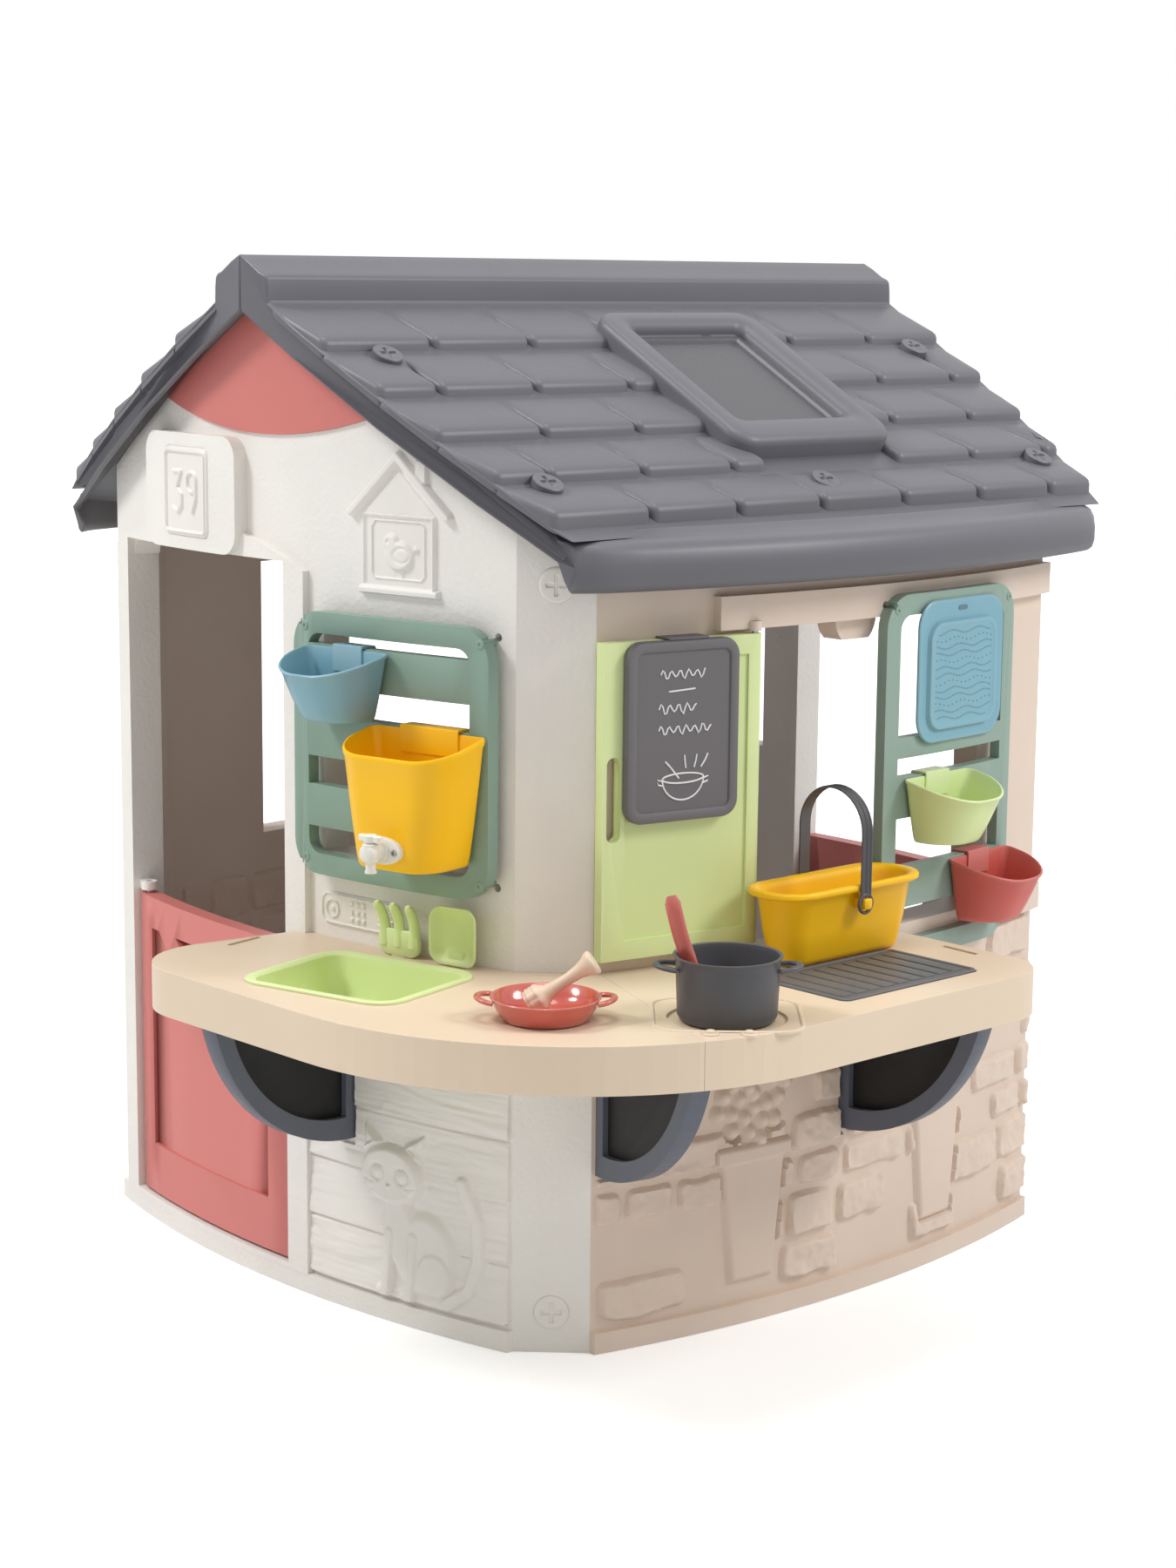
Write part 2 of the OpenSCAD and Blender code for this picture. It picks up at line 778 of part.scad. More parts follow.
module counter_outline() {
    a = [78, -wall_chord];
    b = [30, -front_reach];
    c = [side_reach, -front_reach];
    d = [side_reach, side_end];
    e = [wall_chord, side_end];
    polygon(concat([[78, -wall_half]], [a], corner_arc(a, b, c, 100, 12), corner_arc(b, c, d, corner_r, 24),
        corner_arc(c, d, e, 72, 12), [e], [[wall_half, side_end]]));
}

// The half of the plan on the front side of the seam, moved off it by gap
module front_of_seam(gap) {
    translate([wall_chord - 10, 11 - wall_half, 0]) rotate([0, 0, -22.6])
        translate([-big, -2 * big - gap, 0]) cube([3 * big, 2 * big, ridge_z]);
}

module counter_slab() {
    difference() {
        translate([0, 0, counter_z - lip_h]) linear_extrude(lip_h) counter_outline();
        translate([0, 0, counter_z - lip_h - 1]) linear_extrude(lip_h - deck_t + 1)
            offset(delta = -lip_t) counter_outline();
        house_core(seam);
        translate([0, 0, deck_under - 1]) linear_extrude(deck_t + 2) tool_slots();
        translate([0, 0, deck_under - 1]) linear_extrude(deck_t + 2) end_slots();
        right_side() bowed(trellis_proud + 1, trellis_proud + 20)
            rect(side_trellis[0] - side_trellis[2] / 2 - 1, side_trellis[0], 300, 600);
        right_side() sill_rail(seam);
        bowed(surround_proud + seam, 30) rect(0, door_x1 + surround_w + seam, 0, door_top);
    }
}

module tool_slots() {
    for (u = tool_us) on_plan(u) square([tool_w + 2, tool_t + 2], center = true);
}

module on_plan(u) {
    translate([0, arc_cy]) rotate(asin(u / wall_r)) translate([0, -wall_r - 18]) children();
}

module end_slots() {
    translate([72, -640]) rotate(12) square([8, 60], center = true);
    translate([700, side_end - 22]) rotate(-3) square([60, 8], center = true);
}

module counter_front() {
    color(tan) difference() {
        intersection() {
            counter_slab();
            front_of_seam(seam / 2);
        }
        at_basin(-30) rounded_box(basin_l - 2 * flange + 1, basin_w - 2 * flange + 1, 60, 26);
    }
}

module counter_right() {
    color(tan) difference() {
        counter_slab();
        front_of_seam(-seam / 2);
        at_pot(-ring_sink) cylinder(r = pot_r + 6, h = 20);
        translate([plate_at[0], plate_at[1], counter_z - plate_t - rest_gap]) rotate([0, 0, 90])
            rounded_box(plate_l + 2, plate_w + 2, 20, 12);
    }
}

module bracket(u) {
    color(charcoal) {
        difference() {
            on_wall(u, 0) difference() {
                bracket_plate(bracket_t, bracket_r, 12);
                for (sx = [-1, 1]) translate([sx * (bracket_t / 2 + 1), -18, -16])
                    bracket_plate(18, bracket_r - 46, 0);
            }
            house_core(seam);
            sill_rail(seam);
        }
        on_wall(u, 0) for (z = peg_zs) translate([0, peg_l, z]) rotate([90, 0, 0])
            cylinder(r = peg_r, h = peg_l + 20);
    }
}

// A quarter disc under the deck, t thick, that reaches back into the wall by root
module bracket_plate(t, r, root) {
    intersection() {
        translate([-t / 2, 0, deck_under - rest_gap]) rotate([0, 90, 0]) cylinder(r = r, h = t, $fn = 96);
        translate([-t, -r - 1, deck_under - rest_gap - r - 1]) cube([2 * t, r + 1 + root, r + 1]);
    }
}

module peg_holes(u) {
    on_wall(u, 0) for (z = peg_zs) translate([0, peg_l + 0.5, z]) rotate([90, 0, 0])
        cylinder(r = peg_r + 0.3, h = peg_l + 20);
}

// ---------- things on the counter ----------

module at_basin(up) {
    translate([basin_at[0], basin_at[1], counter_z + up]) rotate([0, 0, basin_turn]) children();
}

module basin() {
    inner_l = basin_l - 2 * flange;
    inner_w = basin_w - 2 * flange;
    color(green) at_basin(0) difference() {
        union() {
            translate([0, 0, rest_gap]) rounded_box(basin_l, basin_w, 4, 34);
            translate([0, 0, -basin_d]) rounded_box(inner_l, inner_w, basin_d + 1, 26);
        }
        translate([0, 0, -basin_d + toy_wall])
            rounded_box(inner_l - 2 * toy_wall, inner_w - 2 * toy_wall, basin_d + 10, 24);
    }
}

module drain_plate() {
    color(charcoal) translate([plate_at[0], plate_at[1], counter_z - plate_t]) rotate([0, 0, 90])
        difference() {
            rounded_box(plate_l, plate_w, plate_t, 11);
            for (k = [-4:4]) translate([k * 24 - 2, -plate_w / 2 + 14, plate_t - 2])
                cube([4, plate_w - 28, 3]);
        }
}

module at_pot(up) {
    translate([pot_at[0], pot_at[1], counter_z + up]) rotate([0, 0, 47]) children();
}

module open_tub(r, h, foot) {
    difference() {
        cylinder(r1 = r - foot, r2 = r, h = h);
        translate([0, 0, toy_wall]) cylinder(r1 = r - foot - toy_wall, r2 = r - toy_wall, h = h);
    }
}

module ears(r, h, reach) {
    for (sx = [-1, 1]) translate([sx * (r + reach / 2 - 3), 0, h]) difference() {
        rounded_box(reach + 6, 34, 5, 10);
        translate([sx * 2, 0, -1]) rounded_box(reach - 8, 20, 7, 4);
    }
}

module pot() {
    color(charcoal) at_pot(-ring_sink + rest_gap) {
        open_tub(pot_r, pot_h, 6);
        difference() {
            ears(pot_r, pot_h - 20, 24);
            translate([0, 0, 1]) cylinder(r = pot_r - toy_wall, h = pot_h + 10);
        }
    }
}

module ladle() {
    color(coral) translate([0, 0, rest_gap * 2 + toy_wall - ring_sink]) at_pot(22) rotate([0, 0, 180])
        rotate([0, 22, 0]) {
            difference() {
                sphere(r = 22);
                sphere(r = 22 - toy_wall);
                translate([-30, -30, 4]) cube([60, 60, 60]);
            }
            difference() {
                translate([17, -7, 0]) cube([4, 14, 128]);
                translate([16, -3, 96]) cube([6, 6, 20]);
            }
        }
}

module at_pan() {
    translate([pan_at[0], pan_at[1], counter_z + rest_gap]) rotate([0, 0, 47]) children();
}

module pan() {
    color(coral) at_pan() {
        open_tub(pan_r, pan_h, 12);
        difference() {
            ears(pan_r, pan_h - 5, 20);
            translate([0, 0, 1]) cylinder(r = pan_r - toy_wall, h = pan_h + 10);
        }
    }
}

module masher() {
    color(beige) at_pan() translate([-20, 0, toy_wall + rest_gap + 13]) rotate([0, 55, 0])
        rotate_extrude() polygon([[0, 0], [16, 0], [17, 3], [17, 18], [9, 26], [7, 60], [9, 76],
            [15, 86], [15, 92], [0, 92]]);
}

module at_basket() {
    translate([basket_at[0], basket_at[1], counter_z + rest_gap]) rotate([0, 0, 90]) children();
}

module basket_shape(inset, z0, z1) {
    hull() {
        translate([0, 0, z0]) rounded_box(basket_l - 30 - inset, basket_w - 22 - inset, 1, 30);
        translate([0, 0, z1 - 1]) rounded_box(basket_l - 10 - inset, basket_w - 8 - inset, 1, 40);
    }
}

module basket() {
    color(yellow) at_basket() {
        difference() {
            union() {
                basket_shape(0, 0, basket_h - 4);
                translate([0, 0, basket_h - 8]) rounded_box(basket_l, basket_w, 8, 46);
            }
            basket_shape(2 * toy_wall, toy_wall, basket_h + 2);
        }
        for (side = [0, 1]) mirror([0, side, 0]) translate([0, basket_w / 2 - 14, stud_z])
            rotate([-90, 0, 0]) cylinder(r = stud_r, h = 14 + bail_t + 4);
    }
}

module basket_handle() {
    inner = basket_w / 2 + 1;
    leg = bail_h - inner - bail_t;
    color(charcoal) at_basket() translate([0, 0, stud_z]) {
        difference() {
            translate([-bail_w / 2, 0, 0]) rotate([90, 0, 90]) linear_extrude(bail_w) {
                difference() {
                    translate([0, leg]) circle(r = inner + bail_t);
                    translate([0, leg]) circle(r = inner);
                    translate([-100, -100]) square([200, 100 + leg]);
                }
                for (sx = [-1, 1]) translate([sx * (inner + bail_t / 2) - bail_t / 2, 0])
                    square([bail_t, leg + 0.5]);
            }
            bail_bores();
        }
        difference() {
            for (side = [0, 1]) mirror([0, side, 0]) translate([0, inner, 0]) rotate([-90, 0, 0])
                cylinder(r = stud_r + 6, h = bail_t);
            bail_bores();
        }
    }
}

module bail_bores() {
    rotate([90, 0, 0]) cylinder(r = stud_r + pin_gap, h = 3 * basket_w, center = true);
}

// ---------- things on the trellises ----------

// A hook over a slat whose top is at z, from a flat back that stands past the trellis
module hook(w, z) {
    out = trellis_proud + back_gap + toy_wall;
    in = trellis_proud - trellis_t - back_gap - hook_t;
    translate([-w / 2, -out, z + rest_gap]) cube([w, out - in, hook_t]);
    translate([-w / 2, -in - hook_t, z - 10]) cube([w, hook_t, 10 + hook_t]);
}

module cup(u, z) {
    on_wall(u, 0) {
        hook(44, z);
        translate([0, -trellis_proud - back_gap, z - cup_h - 2]) difference() {
            linear_extrude(cup_h) cup_plan(0);
            translate([0, -toy_wall, toy_wall]) linear_extrude(cup_h) cup_plan(toy_wall);
        }
        translate([-22, -trellis_proud - back_gap - toy_wall, z - 8]) cube([44, toy_wall, 8 + hook_t]);
    }
}

// A flat back at y = 0 and a half-round front
module cup_plan(inset) {
    r = cup_w / 2 - inset;
    polygon(concat([[-r, 0]], [for (k = [0:24]) [-r * cos(k * 7.5), -cup_d + cup_w / 2 - r * sin(k * 7.5)]],
        [[r, 0]]));
}

module dispenser() {
    color(yellow) difference() {
        on_wall(tank_u, 0) {
            hook(90, front_slats[1] + slat_h);
            difference() {
                translate([0, -trellis_proud - back_gap - tank_d / 2, tank_z])
                    rounded_box(tank_w, tank_d, tank_h, 14);
                translate([0, -trellis_proud - back_gap - tank_d / 2, tank_z + toy_wall])
                    rounded_box(tank_w - 2 * toy_wall, tank_d - 2 * toy_wall, tank_h, 12);
            }
            translate([-45, -trellis_proud - back_gap - toy_wall, tank_z + tank_h - 20])
                cube([90, toy_wall, front_slats[1] + slat_h + hook_t + rest_gap - tank_z - tank_h + 20]);
        }
        at_tap() cylinder(r = tap_r + screw_gap, h = 40, center = true);
        at_tap() for (sx = [-1, 1]) translate([sx * 19, 0, 0]) cylinder(r = 2, h = 30, center = true);
    }
}

// The tap's seat on the dispenser's front face, with +Z pointing outwards
module at_tap() {
    on_wall(tank_u, 0) translate([0, -trellis_proud - back_gap - tank_d, tap_z]) rotate([90, 0, 0])
        children();
}

module tap_body() {
    color(white) at_tap() difference() {
        union() {
            translate([0, 0, rest_gap]) linear_extrude(4) {
                square([38, 22], center = true);
                for (sx = [-1, 1]) translate([sx * 19, 0]) circle(r = 11);
            }
            translate([0, 0, -16]) cylinder(r = tap_r, h = 46);
            translate([0, 0, 22]) rotate([90, 0, 0]) cylinder(r = 10, h = 24, center = true);
            translate([0, 0, 22]) rotate([90, 0, 0]) cylinder(r = 6, h = 24);
        }
        translate([0, 0, -20]) cylinder(r = 4.5, h = 40);
        translate([0, 0, 22]) rotate([90, 0, 0]) translate([0, 0, -14]) cylinder(r = 5 + pin_gap, h = 16);
        translate([0, 0, 22]) rotate([90, 0, 0]) cylinder(r = 3.5, h = 30);
        for (sx = [-1, 1]) translate([sx * 19, 0, -5]) cylinder(r = 2.2, h = 20);
    }
}

module tap_handle() {
    color(white) at_tap() translate([0, 13, 22]) rotate([-90, 0, 0]) {
        translate([0, 0, -10]) cylinder(r = 5, h = 14);
        translate([0, 0, 0]) difference() {
            rounded_box(36, 12, 10, 5);
            translate([0, 0, -1]) cylinder(r = 2, h = 1.2);
        }
    }
}

module tap_nut() {
    color(white) at_tap() translate([0, 0, -toy_wall - 6 - rest_gap]) difference() {
        cylinder(r = tap_r + 5, h = 6, $fn = 6);
        translate([0, 0, -1]) cylinder(r = tap_r + 0.1, h = 8);
    }
}

module tap_screws() {
    color(steel) at_tap() for (sx = [-1, 1]) translate([sx * 19, 0, 0]) {
        translate([0, 0, -6]) cylinder(r = 1.8, h = 11);
        translate([0, 0, 4 + 2 * rest_gap]) cylinder(r = 4, h = 2);
    }
}

module chalkboard() {
    top = shutter_z0 + shutter_h;
    color(charcoal) right_side() shutter_place(shutter_w) {
        translate([-8, -shutter_t - rest_gap - board_t, top - board_h]) rotate([0, 0, 0]) difference() {
            translate([0, board_t, board_h / 2]) rotate([90, 0, 0])
                rounded_box(board_w, board_h, board_t, 24);
            translate([0, 3, board_h / 2]) rotate([90, 0, 0])
                rounded_box(board_w - 36, board_h - 36, board_t, 8);
        }
        translate([-38, -shutter_t - 4, top + rest_gap]) cube([60, shutter_t + 6, 2.5]);
        translate([-38, -shutter_t - rest_gap - 4, top - 12]) cube([60, 4, 14 + rest_gap]);
    }
}

module sieve() {
    color(blue) right_side() on_wall(sieve_u, trellis_proud + rest_gap) {
        difference() {
            translate([0, 0, sieve_z + sieve_h / 2]) rotate([90, 0, 0])
                rounded_box(sieve_w, sieve_h, 4, 36);
            translate([0, 1, sieve_z + sieve_h - 12]) rotate([90, 0, 0]) rounded_box(20, 7, 12, 3);
            translate([0, 1, sieve_z + sieve_h / 2 - 6]) rotate([90, 0, 0])
                rounded_box(sieve_w - 44, sieve_h - 50, 6, 24);
        }
        translate([0, 0, sieve_z + sieve_h / 2 - 6]) difference() {
            rotate([90, 0, 0]) rounded_box(sieve_w - 38, sieve_h - 44, sieve_t, 26);
            translate([0, 1, 0]) rotate([90, 0, 0])
                rounded_box(sieve_w - 44, sieve_h - 50, sieve_t - 1.5, 24);
        }
    }
}

module rake() {
    color(green) on_wall(tool_us[0], 18) {
        translate([-tool_w / 2, -tool_t / 2, deck_under - 60]) cube([tool_w, tool_t, 70 + deck_t]);
        translate([-34, -tool_t / 2, counter_z + 0.3]) cube([68, tool_t, 30]);
        for (x = [-34, -8, 18]) translate([x, -tool_t / 2, counter_z + 25]) cube([16, tool_t, 52]);
    }
}

module shovel() {
    color(green) on_wall(tool_us[1], 18) {
        translate([-tool_w / 2, -tool_t / 2, deck_under - 60]) cube([tool_w, tool_t, 70 + deck_t]);
        translate([0, tool_t / 2, counter_z + 0.3 + 38]) rotate([90, 0, 0])
            rounded_box(72, 76, tool_t, 14);
    }
}

// ---------- the assembly ----------

to_origin() color(white) gable_wall();  // front_wall
to_origin() color(white) rear_side() gable_wall();  // rear_wall
to_origin() color(beige) right_side() side_wall(false);  // right_wall
to_origin() color(beige) left_side() side_wall(true);  // left_wall
to_origin() gable_panel();  // gable_panel_front
to_origin() rear_side() gable_panel();  // gable_panel_rear
to_origin() number_plaque();
to_origin() color(slate) roof_half();  // roof_right
to_origin() color(slate) rear_side() roof_half();  // roof_left
to_origin() skylight();  // skylight_right
to_origin() rear_side() skylight();  // skylight_left
to_origin() corner_screws();
to_origin() roof_screws();
to_origin() half_door();  // door_front
to_origin() rear_side() half_door();  // door_rear
to_origin() door_pins();
to_origin() right_side()  // shutter_right
    shutter_place(shutter_w) shutter(shutter_w);
to_origin() left_side()  // shutter_left_front
    shutter_place(shutter_w) shutter(shutter_w);
to_origin() left_side() mirror([1, 0, 0])  // shutter_left_rear
    shutter_place(rear_shutter_w, -side_y1) shutter(rear_shutter_w);
to_origin() shutter_pins();
to_origin() trellis(front_trellis, front_slats,  // trellis_front
    [slat_h, slat_h, slat_h]);
to_origin() right_side()  // trellis_right
    trellis(side_trellis, concat(side_slats, [side_bar_z]), [slat_h, slat_h, rail_w]);
to_origin() color(sage) {  // trellis_plugs
    plugs(front_trellis, true);
    right_side() plugs(side_trellis, false);
}
to_origin() counter_front();
to_origin() counter_right();
to_origin() bracket(bracket_us[0]);  // bracket_left
to_origin() right_side() bracket(bracket_us[1]);  // bracket_corner
to_origin() right_side() bracket(bracket_us[2]);  // bracket_right
to_origin() basin();
to_origin() drain_plate();
to_origin() pot();
to_origin() ladle();
to_origin() pan();
to_origin() masher();
to_origin() basket();
to_origin() basket_handle();
to_origin() color(blue) cup(192, front_slats[0] + slat_h);  // cup_blue
to_origin() color(green) right_side()  // cup_green
    cup(108, side_slats[0] + slat_h);
to_origin() color(coral) right_side()  // cup_coral
    cup(206, side_slats[1] + slat_h);
to_origin() dispenser();
to_origin() tap_body();
to_origin() tap_handle();
to_origin() tap_nut();
to_origin() tap_screws();
to_origin() chalkboard();
to_origin() sieve();
to_origin() rake();
to_origin() shovel();
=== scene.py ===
"""Looks of a plastic playhouse with a play kitchen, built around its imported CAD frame.

Lengths are metres. The house's own axes run through its centre: the front gable faces -Y and the
kitchen's long side faces +X. A place on a bowed wall is given as u along it and off past its face.
"""
import math
import random

import bmesh
import bpy
import numpy as np
from mathutils import Matrix, Vector


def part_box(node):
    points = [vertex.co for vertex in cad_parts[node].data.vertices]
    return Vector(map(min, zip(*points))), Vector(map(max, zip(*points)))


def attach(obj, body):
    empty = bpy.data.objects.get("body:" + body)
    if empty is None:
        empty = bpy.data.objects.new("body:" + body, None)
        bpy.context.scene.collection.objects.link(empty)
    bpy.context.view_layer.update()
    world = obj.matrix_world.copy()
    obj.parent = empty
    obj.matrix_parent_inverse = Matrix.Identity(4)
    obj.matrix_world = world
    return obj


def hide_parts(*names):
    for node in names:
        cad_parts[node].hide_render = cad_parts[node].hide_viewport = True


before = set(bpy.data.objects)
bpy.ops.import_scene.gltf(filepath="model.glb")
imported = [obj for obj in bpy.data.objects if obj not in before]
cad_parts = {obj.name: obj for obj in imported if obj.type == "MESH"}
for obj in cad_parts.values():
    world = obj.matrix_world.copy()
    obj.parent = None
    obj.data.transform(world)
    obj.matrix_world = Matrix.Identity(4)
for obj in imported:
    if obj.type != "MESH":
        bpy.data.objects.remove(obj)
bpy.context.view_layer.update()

# ---------- the house's shape, as the frame has it ----------
FRONT_LO, FRONT_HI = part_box("front_wall")
REAR_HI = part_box("rear_wall")[1]
CX = (FRONT_LO[0] + FRONT_HI[0]) / 2
CY = (FRONT_LO[1] + REAR_HI[1]) / 2
WALL_CHORD = (FRONT_HI[0] - FRONT_LO[0]) / 2
WALL_HALF = 0.423  # half the width of a wall between its chamfered corners
WALL_BOW = 0.0555  # how far a wall bulges past its ends
WALL_T = 0.040
ARC_R = (WALL_HALF ** 2 + WALL_BOW ** 2) / (2 * WALL_BOW)
RIDGE_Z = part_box("roof_right")[1][2]
TILE_Z = RIDGE_Z - 0.015
SLOPE = 0.555
ROOF_ANGLE = math.atan(SLOPE)
VERGE_REACH = 0.0385
EAVE_REACH = 0.066
COUNTER_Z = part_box("counter_front")[1][2]
DOOR_U = (-0.361, 0.046)
DOOR_TOP = 0.965
BRACKETS = {"bracket_left": ("front", 0.157), "bracket_corner": ("right", -0.405),
            "bracket_right": ("right", -0.020)}
BRACKET_R, DECK_T = 0.243, 0.014


def on_counter(x, y, degrees):
    """A place on the counter's top, turned about its upright."""
    return (Matrix.Translation((CX + x, CY + y, COUNTER_Z))
            @ Matrix.Rotation(math.radians(degrees), 4, "Z"))


BASIN_PLACE = on_counter(0.327, -0.657, 14)
POT_PLACE = on_counter(0.750, -0.453, 47)
PAN_PLACE = on_counter(0.620, -0.617, 47)
BASKET_PLACE = on_counter(0.613, -0.124, 90)


def wall_point(side, u, off):
    """x and y of a place on a wall; u and off may be arrays."""
    angle = np.arcsin(np.asarray(u) / ARC_R)
    x = (ARC_R + off) * np.sin(angle)
    y = ARC_R - WALL_CHORD - WALL_BOW - (ARC_R + off) * np.cos(angle)
    if side == "right":
        x, y = -y, x
    elif side == "rear":
        x, y = -x, -y
    elif side == "left":
        x, y = y, x
    return x + CX, y + CY


def wall_matrix(side, u, off=0.0, z=0.0):
    """A place on a wall with X along it, Y pointing into the house and Z up."""
    x, y = wall_point(side, u, off)
    x2, y2 = wall_point(side, u, off - 0.01)
    inward = Vector((x2 - x, y2 - y, 0)).normalized()
    along = inward.cross(Vector((0, 0, 1)))
    m = Matrix((along, inward, Vector((0, 0, 1)))).transposed().to_4x4()
    m.translation = Vector((float(x), float(y), z))
    return m


# ---------- materials ----------
def add_node(tree, kind, **values):
    """A shader node with its inputs set by name; an underscore stands for a space."""
    made = tree.nodes.new("ShaderNode" + kind)
    for key, value in values.items():
        made.inputs[key.replace("_", " ")].default_value = value
    return made


def colour_ramp(tree, *stops):
    made = add_node(tree, "ValToRGB")
    for element, (position, colour) in zip(made.color_ramp.elements, stops):
        element.position = position
        element.color = (*colour, 1)
    return made


def plastic(name, colour, rough=0.42, peel=0.0, peel_size=260.0, mottle=0.03, coat=0.0, edge=0.06):
    """Moulded plastic: faint colour drift, fine surface grain and slightly scuffed edges."""
    mat = bpy.data.materials.new(name)
    mat.use_nodes = True
    tree = mat.node_tree
    link = tree.links.new
    bsdf = tree.nodes["Principled BSDF"]
    coord = add_node(tree, "TexCoord")
    drift = add_node(tree, "TexNoise", Scale=7.0, Detail=3.0)
    link(coord.outputs["Object"], drift.inputs["Vector"])
    tint = colour_ramp(tree, (0.3, [max(0.0, c * (1 - mottle)) for c in colour]),
                       (0.7, [min(1.0, c * (1 + mottle)) for c in colour]))
    link(drift.outputs["Fac"], tint.inputs["Fac"])
    geometry = add_node(tree, "NewGeometry")
    worn = colour_ramp(tree, (0.5, (0, 0, 0)), (0.62, (edge * 4, edge * 4, edge * 4)))
    link(geometry.outputs["Pointiness"], worn.inputs["Fac"])
    scuff = add_node(tree, "Mix")
    scuff.data_type = "RGBA"
    link(worn.outputs["Color"], scuff.inputs["Factor"])
    link(tint.outputs["Color"], scuff.inputs["A"])
    scuff.inputs["B"].default_value = (*[min(1.0, c * 0.6 + 0.38) for c in colour], 1)
    link(scuff.outputs["Result"], bsdf.inputs["Base Color"])
    grain = add_node(tree, "TexNoise", Scale=peel_size, Detail=2.0)
    link(coord.outputs["Object"], grain.inputs["Vector"])
    rough_map = add_node(tree, "MapRange", To_Min=max(0.05, rough - 0.06), To_Max=rough + 0.06)
    link(grain.outputs["Fac"], rough_map.inputs["Value"])
    link(rough_map.outputs["Result"], bsdf.inputs["Roughness"])
    if peel:
        bump = add_node(tree, "Bump", Strength=peel, Distance=0.0012)
        link(grain.outputs["Fac"], bump.inputs["Height"])
        link(bump.outputs["Normal"], bsdf.inputs["Normal"])
    bsdf.inputs["Specular IOR Level"].default_value = 0.42
    bsdf.inputs["Coat Weight"].default_value = coat
    return mat


def srgb(r, g, b):
    """A colour as seen, turned into the linear values that shaders take."""
    return tuple(c / 12.92 if c <= 0.04045 else ((c + 0.055) / 1.055) ** 2.4 for c in (r, g, b))


WHITE = plastic("white_peel", srgb(0.93, 0.915, 0.89), 0.46, peel=0.75, peel_size=150)
WHITE_SMOOTH = plastic("white_smooth", srgb(0.93, 0.915, 0.89), 0.42, peel=0.05)
BEIGE = plastic("beige", srgb(0.875, 0.80, 0.735), 0.5, peel=0.12)
TAN = plastic("tan", srgb(0.88, 0.80, 0.70), 0.4, peel=0.04, mottle=0.015)
SLATE = plastic("slate", srgb(0.38, 0.38, 0.405), 0.42, peel=0.06, edge=0.03)
PANE = plastic("pane", srgb(0.27, 0.27, 0.29), 0.25, coat=0.15)
CORAL = plastic("coral", srgb(0.80, 0.37, 0.33), 0.4, peel=0.05)
CORAL_GLOSS = plastic("coral_gloss", srgb(0.77, 0.33, 0.27), 0.2, coat=0.6)
GREEN = plastic("light_green", srgb(0.85, 0.91, 0.65), 0.38, peel=0.03)
SAGE = plastic("sage", srgb(0.50, 0.61, 0.55), 0.4, peel=0.05)
BLUE = plastic("sky_blue", srgb(0.50, 0.68, 0.74), 0.34)
YELLOW = plastic("yellow", srgb(1.0, 0.77, 0.0), 0.38, edge=0.0)
DRAIN_GREY = plastic("drain_grey", srgb(0.37, 0.37, 0.385), 0.42, peel=0.05, edge=0.02)
CHARCOAL = plastic("charcoal", srgb(0.30, 0.30, 0.315), 0.4, peel=0.05, edge=0.02)
BRACKET_GREY = plastic("bracket_grey", srgb(0.36, 0.38, 0.43), 0.42, peel=0.05, edge=0.02)
# Painted shade: near-black for the shaded recess in the brackets' web.
BRACKET_WEB_SHADE = plastic("bracket_web_shade", srgb(0.05, 0.05, 0.055), 0.5, peel=0.1, edge=0.0)
CHALKBOARD = plastic("board", srgb(0.42, 0.41, 0.42), 0.6, peel=0.1, edge=0.02)
CHALK = plastic("chalk", srgb(0.93, 0.93, 0.93), 0.95, mottle=0.1)
TAP_WHITE = plastic("tap_white", srgb(0.92, 0.91, 0.88), 0.3)
STEEL = plastic("steel", srgb(0.70, 0.71, 0.73), 0.3)
STEEL.node_tree.nodes["Principled BSDF"].inputs["Metallic"].default_value = 1.0
# Painted shade: a dark blue for the sieve's holes and hanging slot, which are not cut through.
HOLE_SHADE = plastic("hole_shade", srgb(0.25, 0.42, 0.48), 0.6)
MASHER = plastic("masher", srgb(0.87, 0.78, 0.68), 0.4, mottle=0.08)


# ---------- mesh helpers ----------
def smooth_by_angle(mesh, degrees=38):
    mesh.shade_smooth()
    mesh.set_sharp_from_angle(angle=math.radians(degrees))


def piece(name, bm, mat, body="house", node=None, angle=38, place=None):
    """Turns a bmesh into a named piece of the model that rides on a body."""
    if place is not None:
        bmesh.ops.transform(bm, matrix=place, verts=bm.verts)
    bmesh.ops.recalc_face_normals(bm, faces=bm.faces)
    mesh = bpy.data.meshes.new(name)
    bm.to_mesh(mesh)
    bm.free()
    smooth_by_angle(mesh, angle)
    mats = mat if isinstance(mat, (list, tuple)) else [mat]
    for m in mats:
        mesh.materials.append(m)
    obj = bpy.data.objects.new(name, mesh)
    bpy.context.scene.collection.objects.link(obj)
    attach(obj, body)
    if node:
        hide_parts(*([node] if isinstance(node, str) else node))
    return obj


def loft(bm, rings, cap_start=True, cap_end=True, closed=True):
    """Joins rings of points, all of one length, into a skin."""
    rows = [[bm.verts.new(p) for p in ring] for ring in rings]
    n = len(rows[0])
    last = n if closed else n - 1
    for a, b in zip(rows, rows[1:]):
        for k in range(last):
            bm.faces.new((a[k], a[(k + 1) % n], b[(k + 1) % n], b[k]))
    if cap_start:
        bm.faces.new(rows[0][::-1])
    if cap_end:
        bm.faces.new(rows[-1])
    return rows


def closed_loft(bm, rings):
    """Joins rings into a skin that ends where it began."""
    loft(bm, rings + [rings[0]], cap_start=False, cap_end=False)
    bmesh.ops.remove_doubles(bm, verts=bm.verts, dist=1e-6)


def circle(r, z, steps):
    turns = [2 * math.pi * k / steps for k in range(steps)]
    return [Vector((r * math.cos(a), r * math.sin(a), z)) for a in turns]


def placed(matrix, rings):
    return [[matrix @ p for p in ring] for ring in rings]


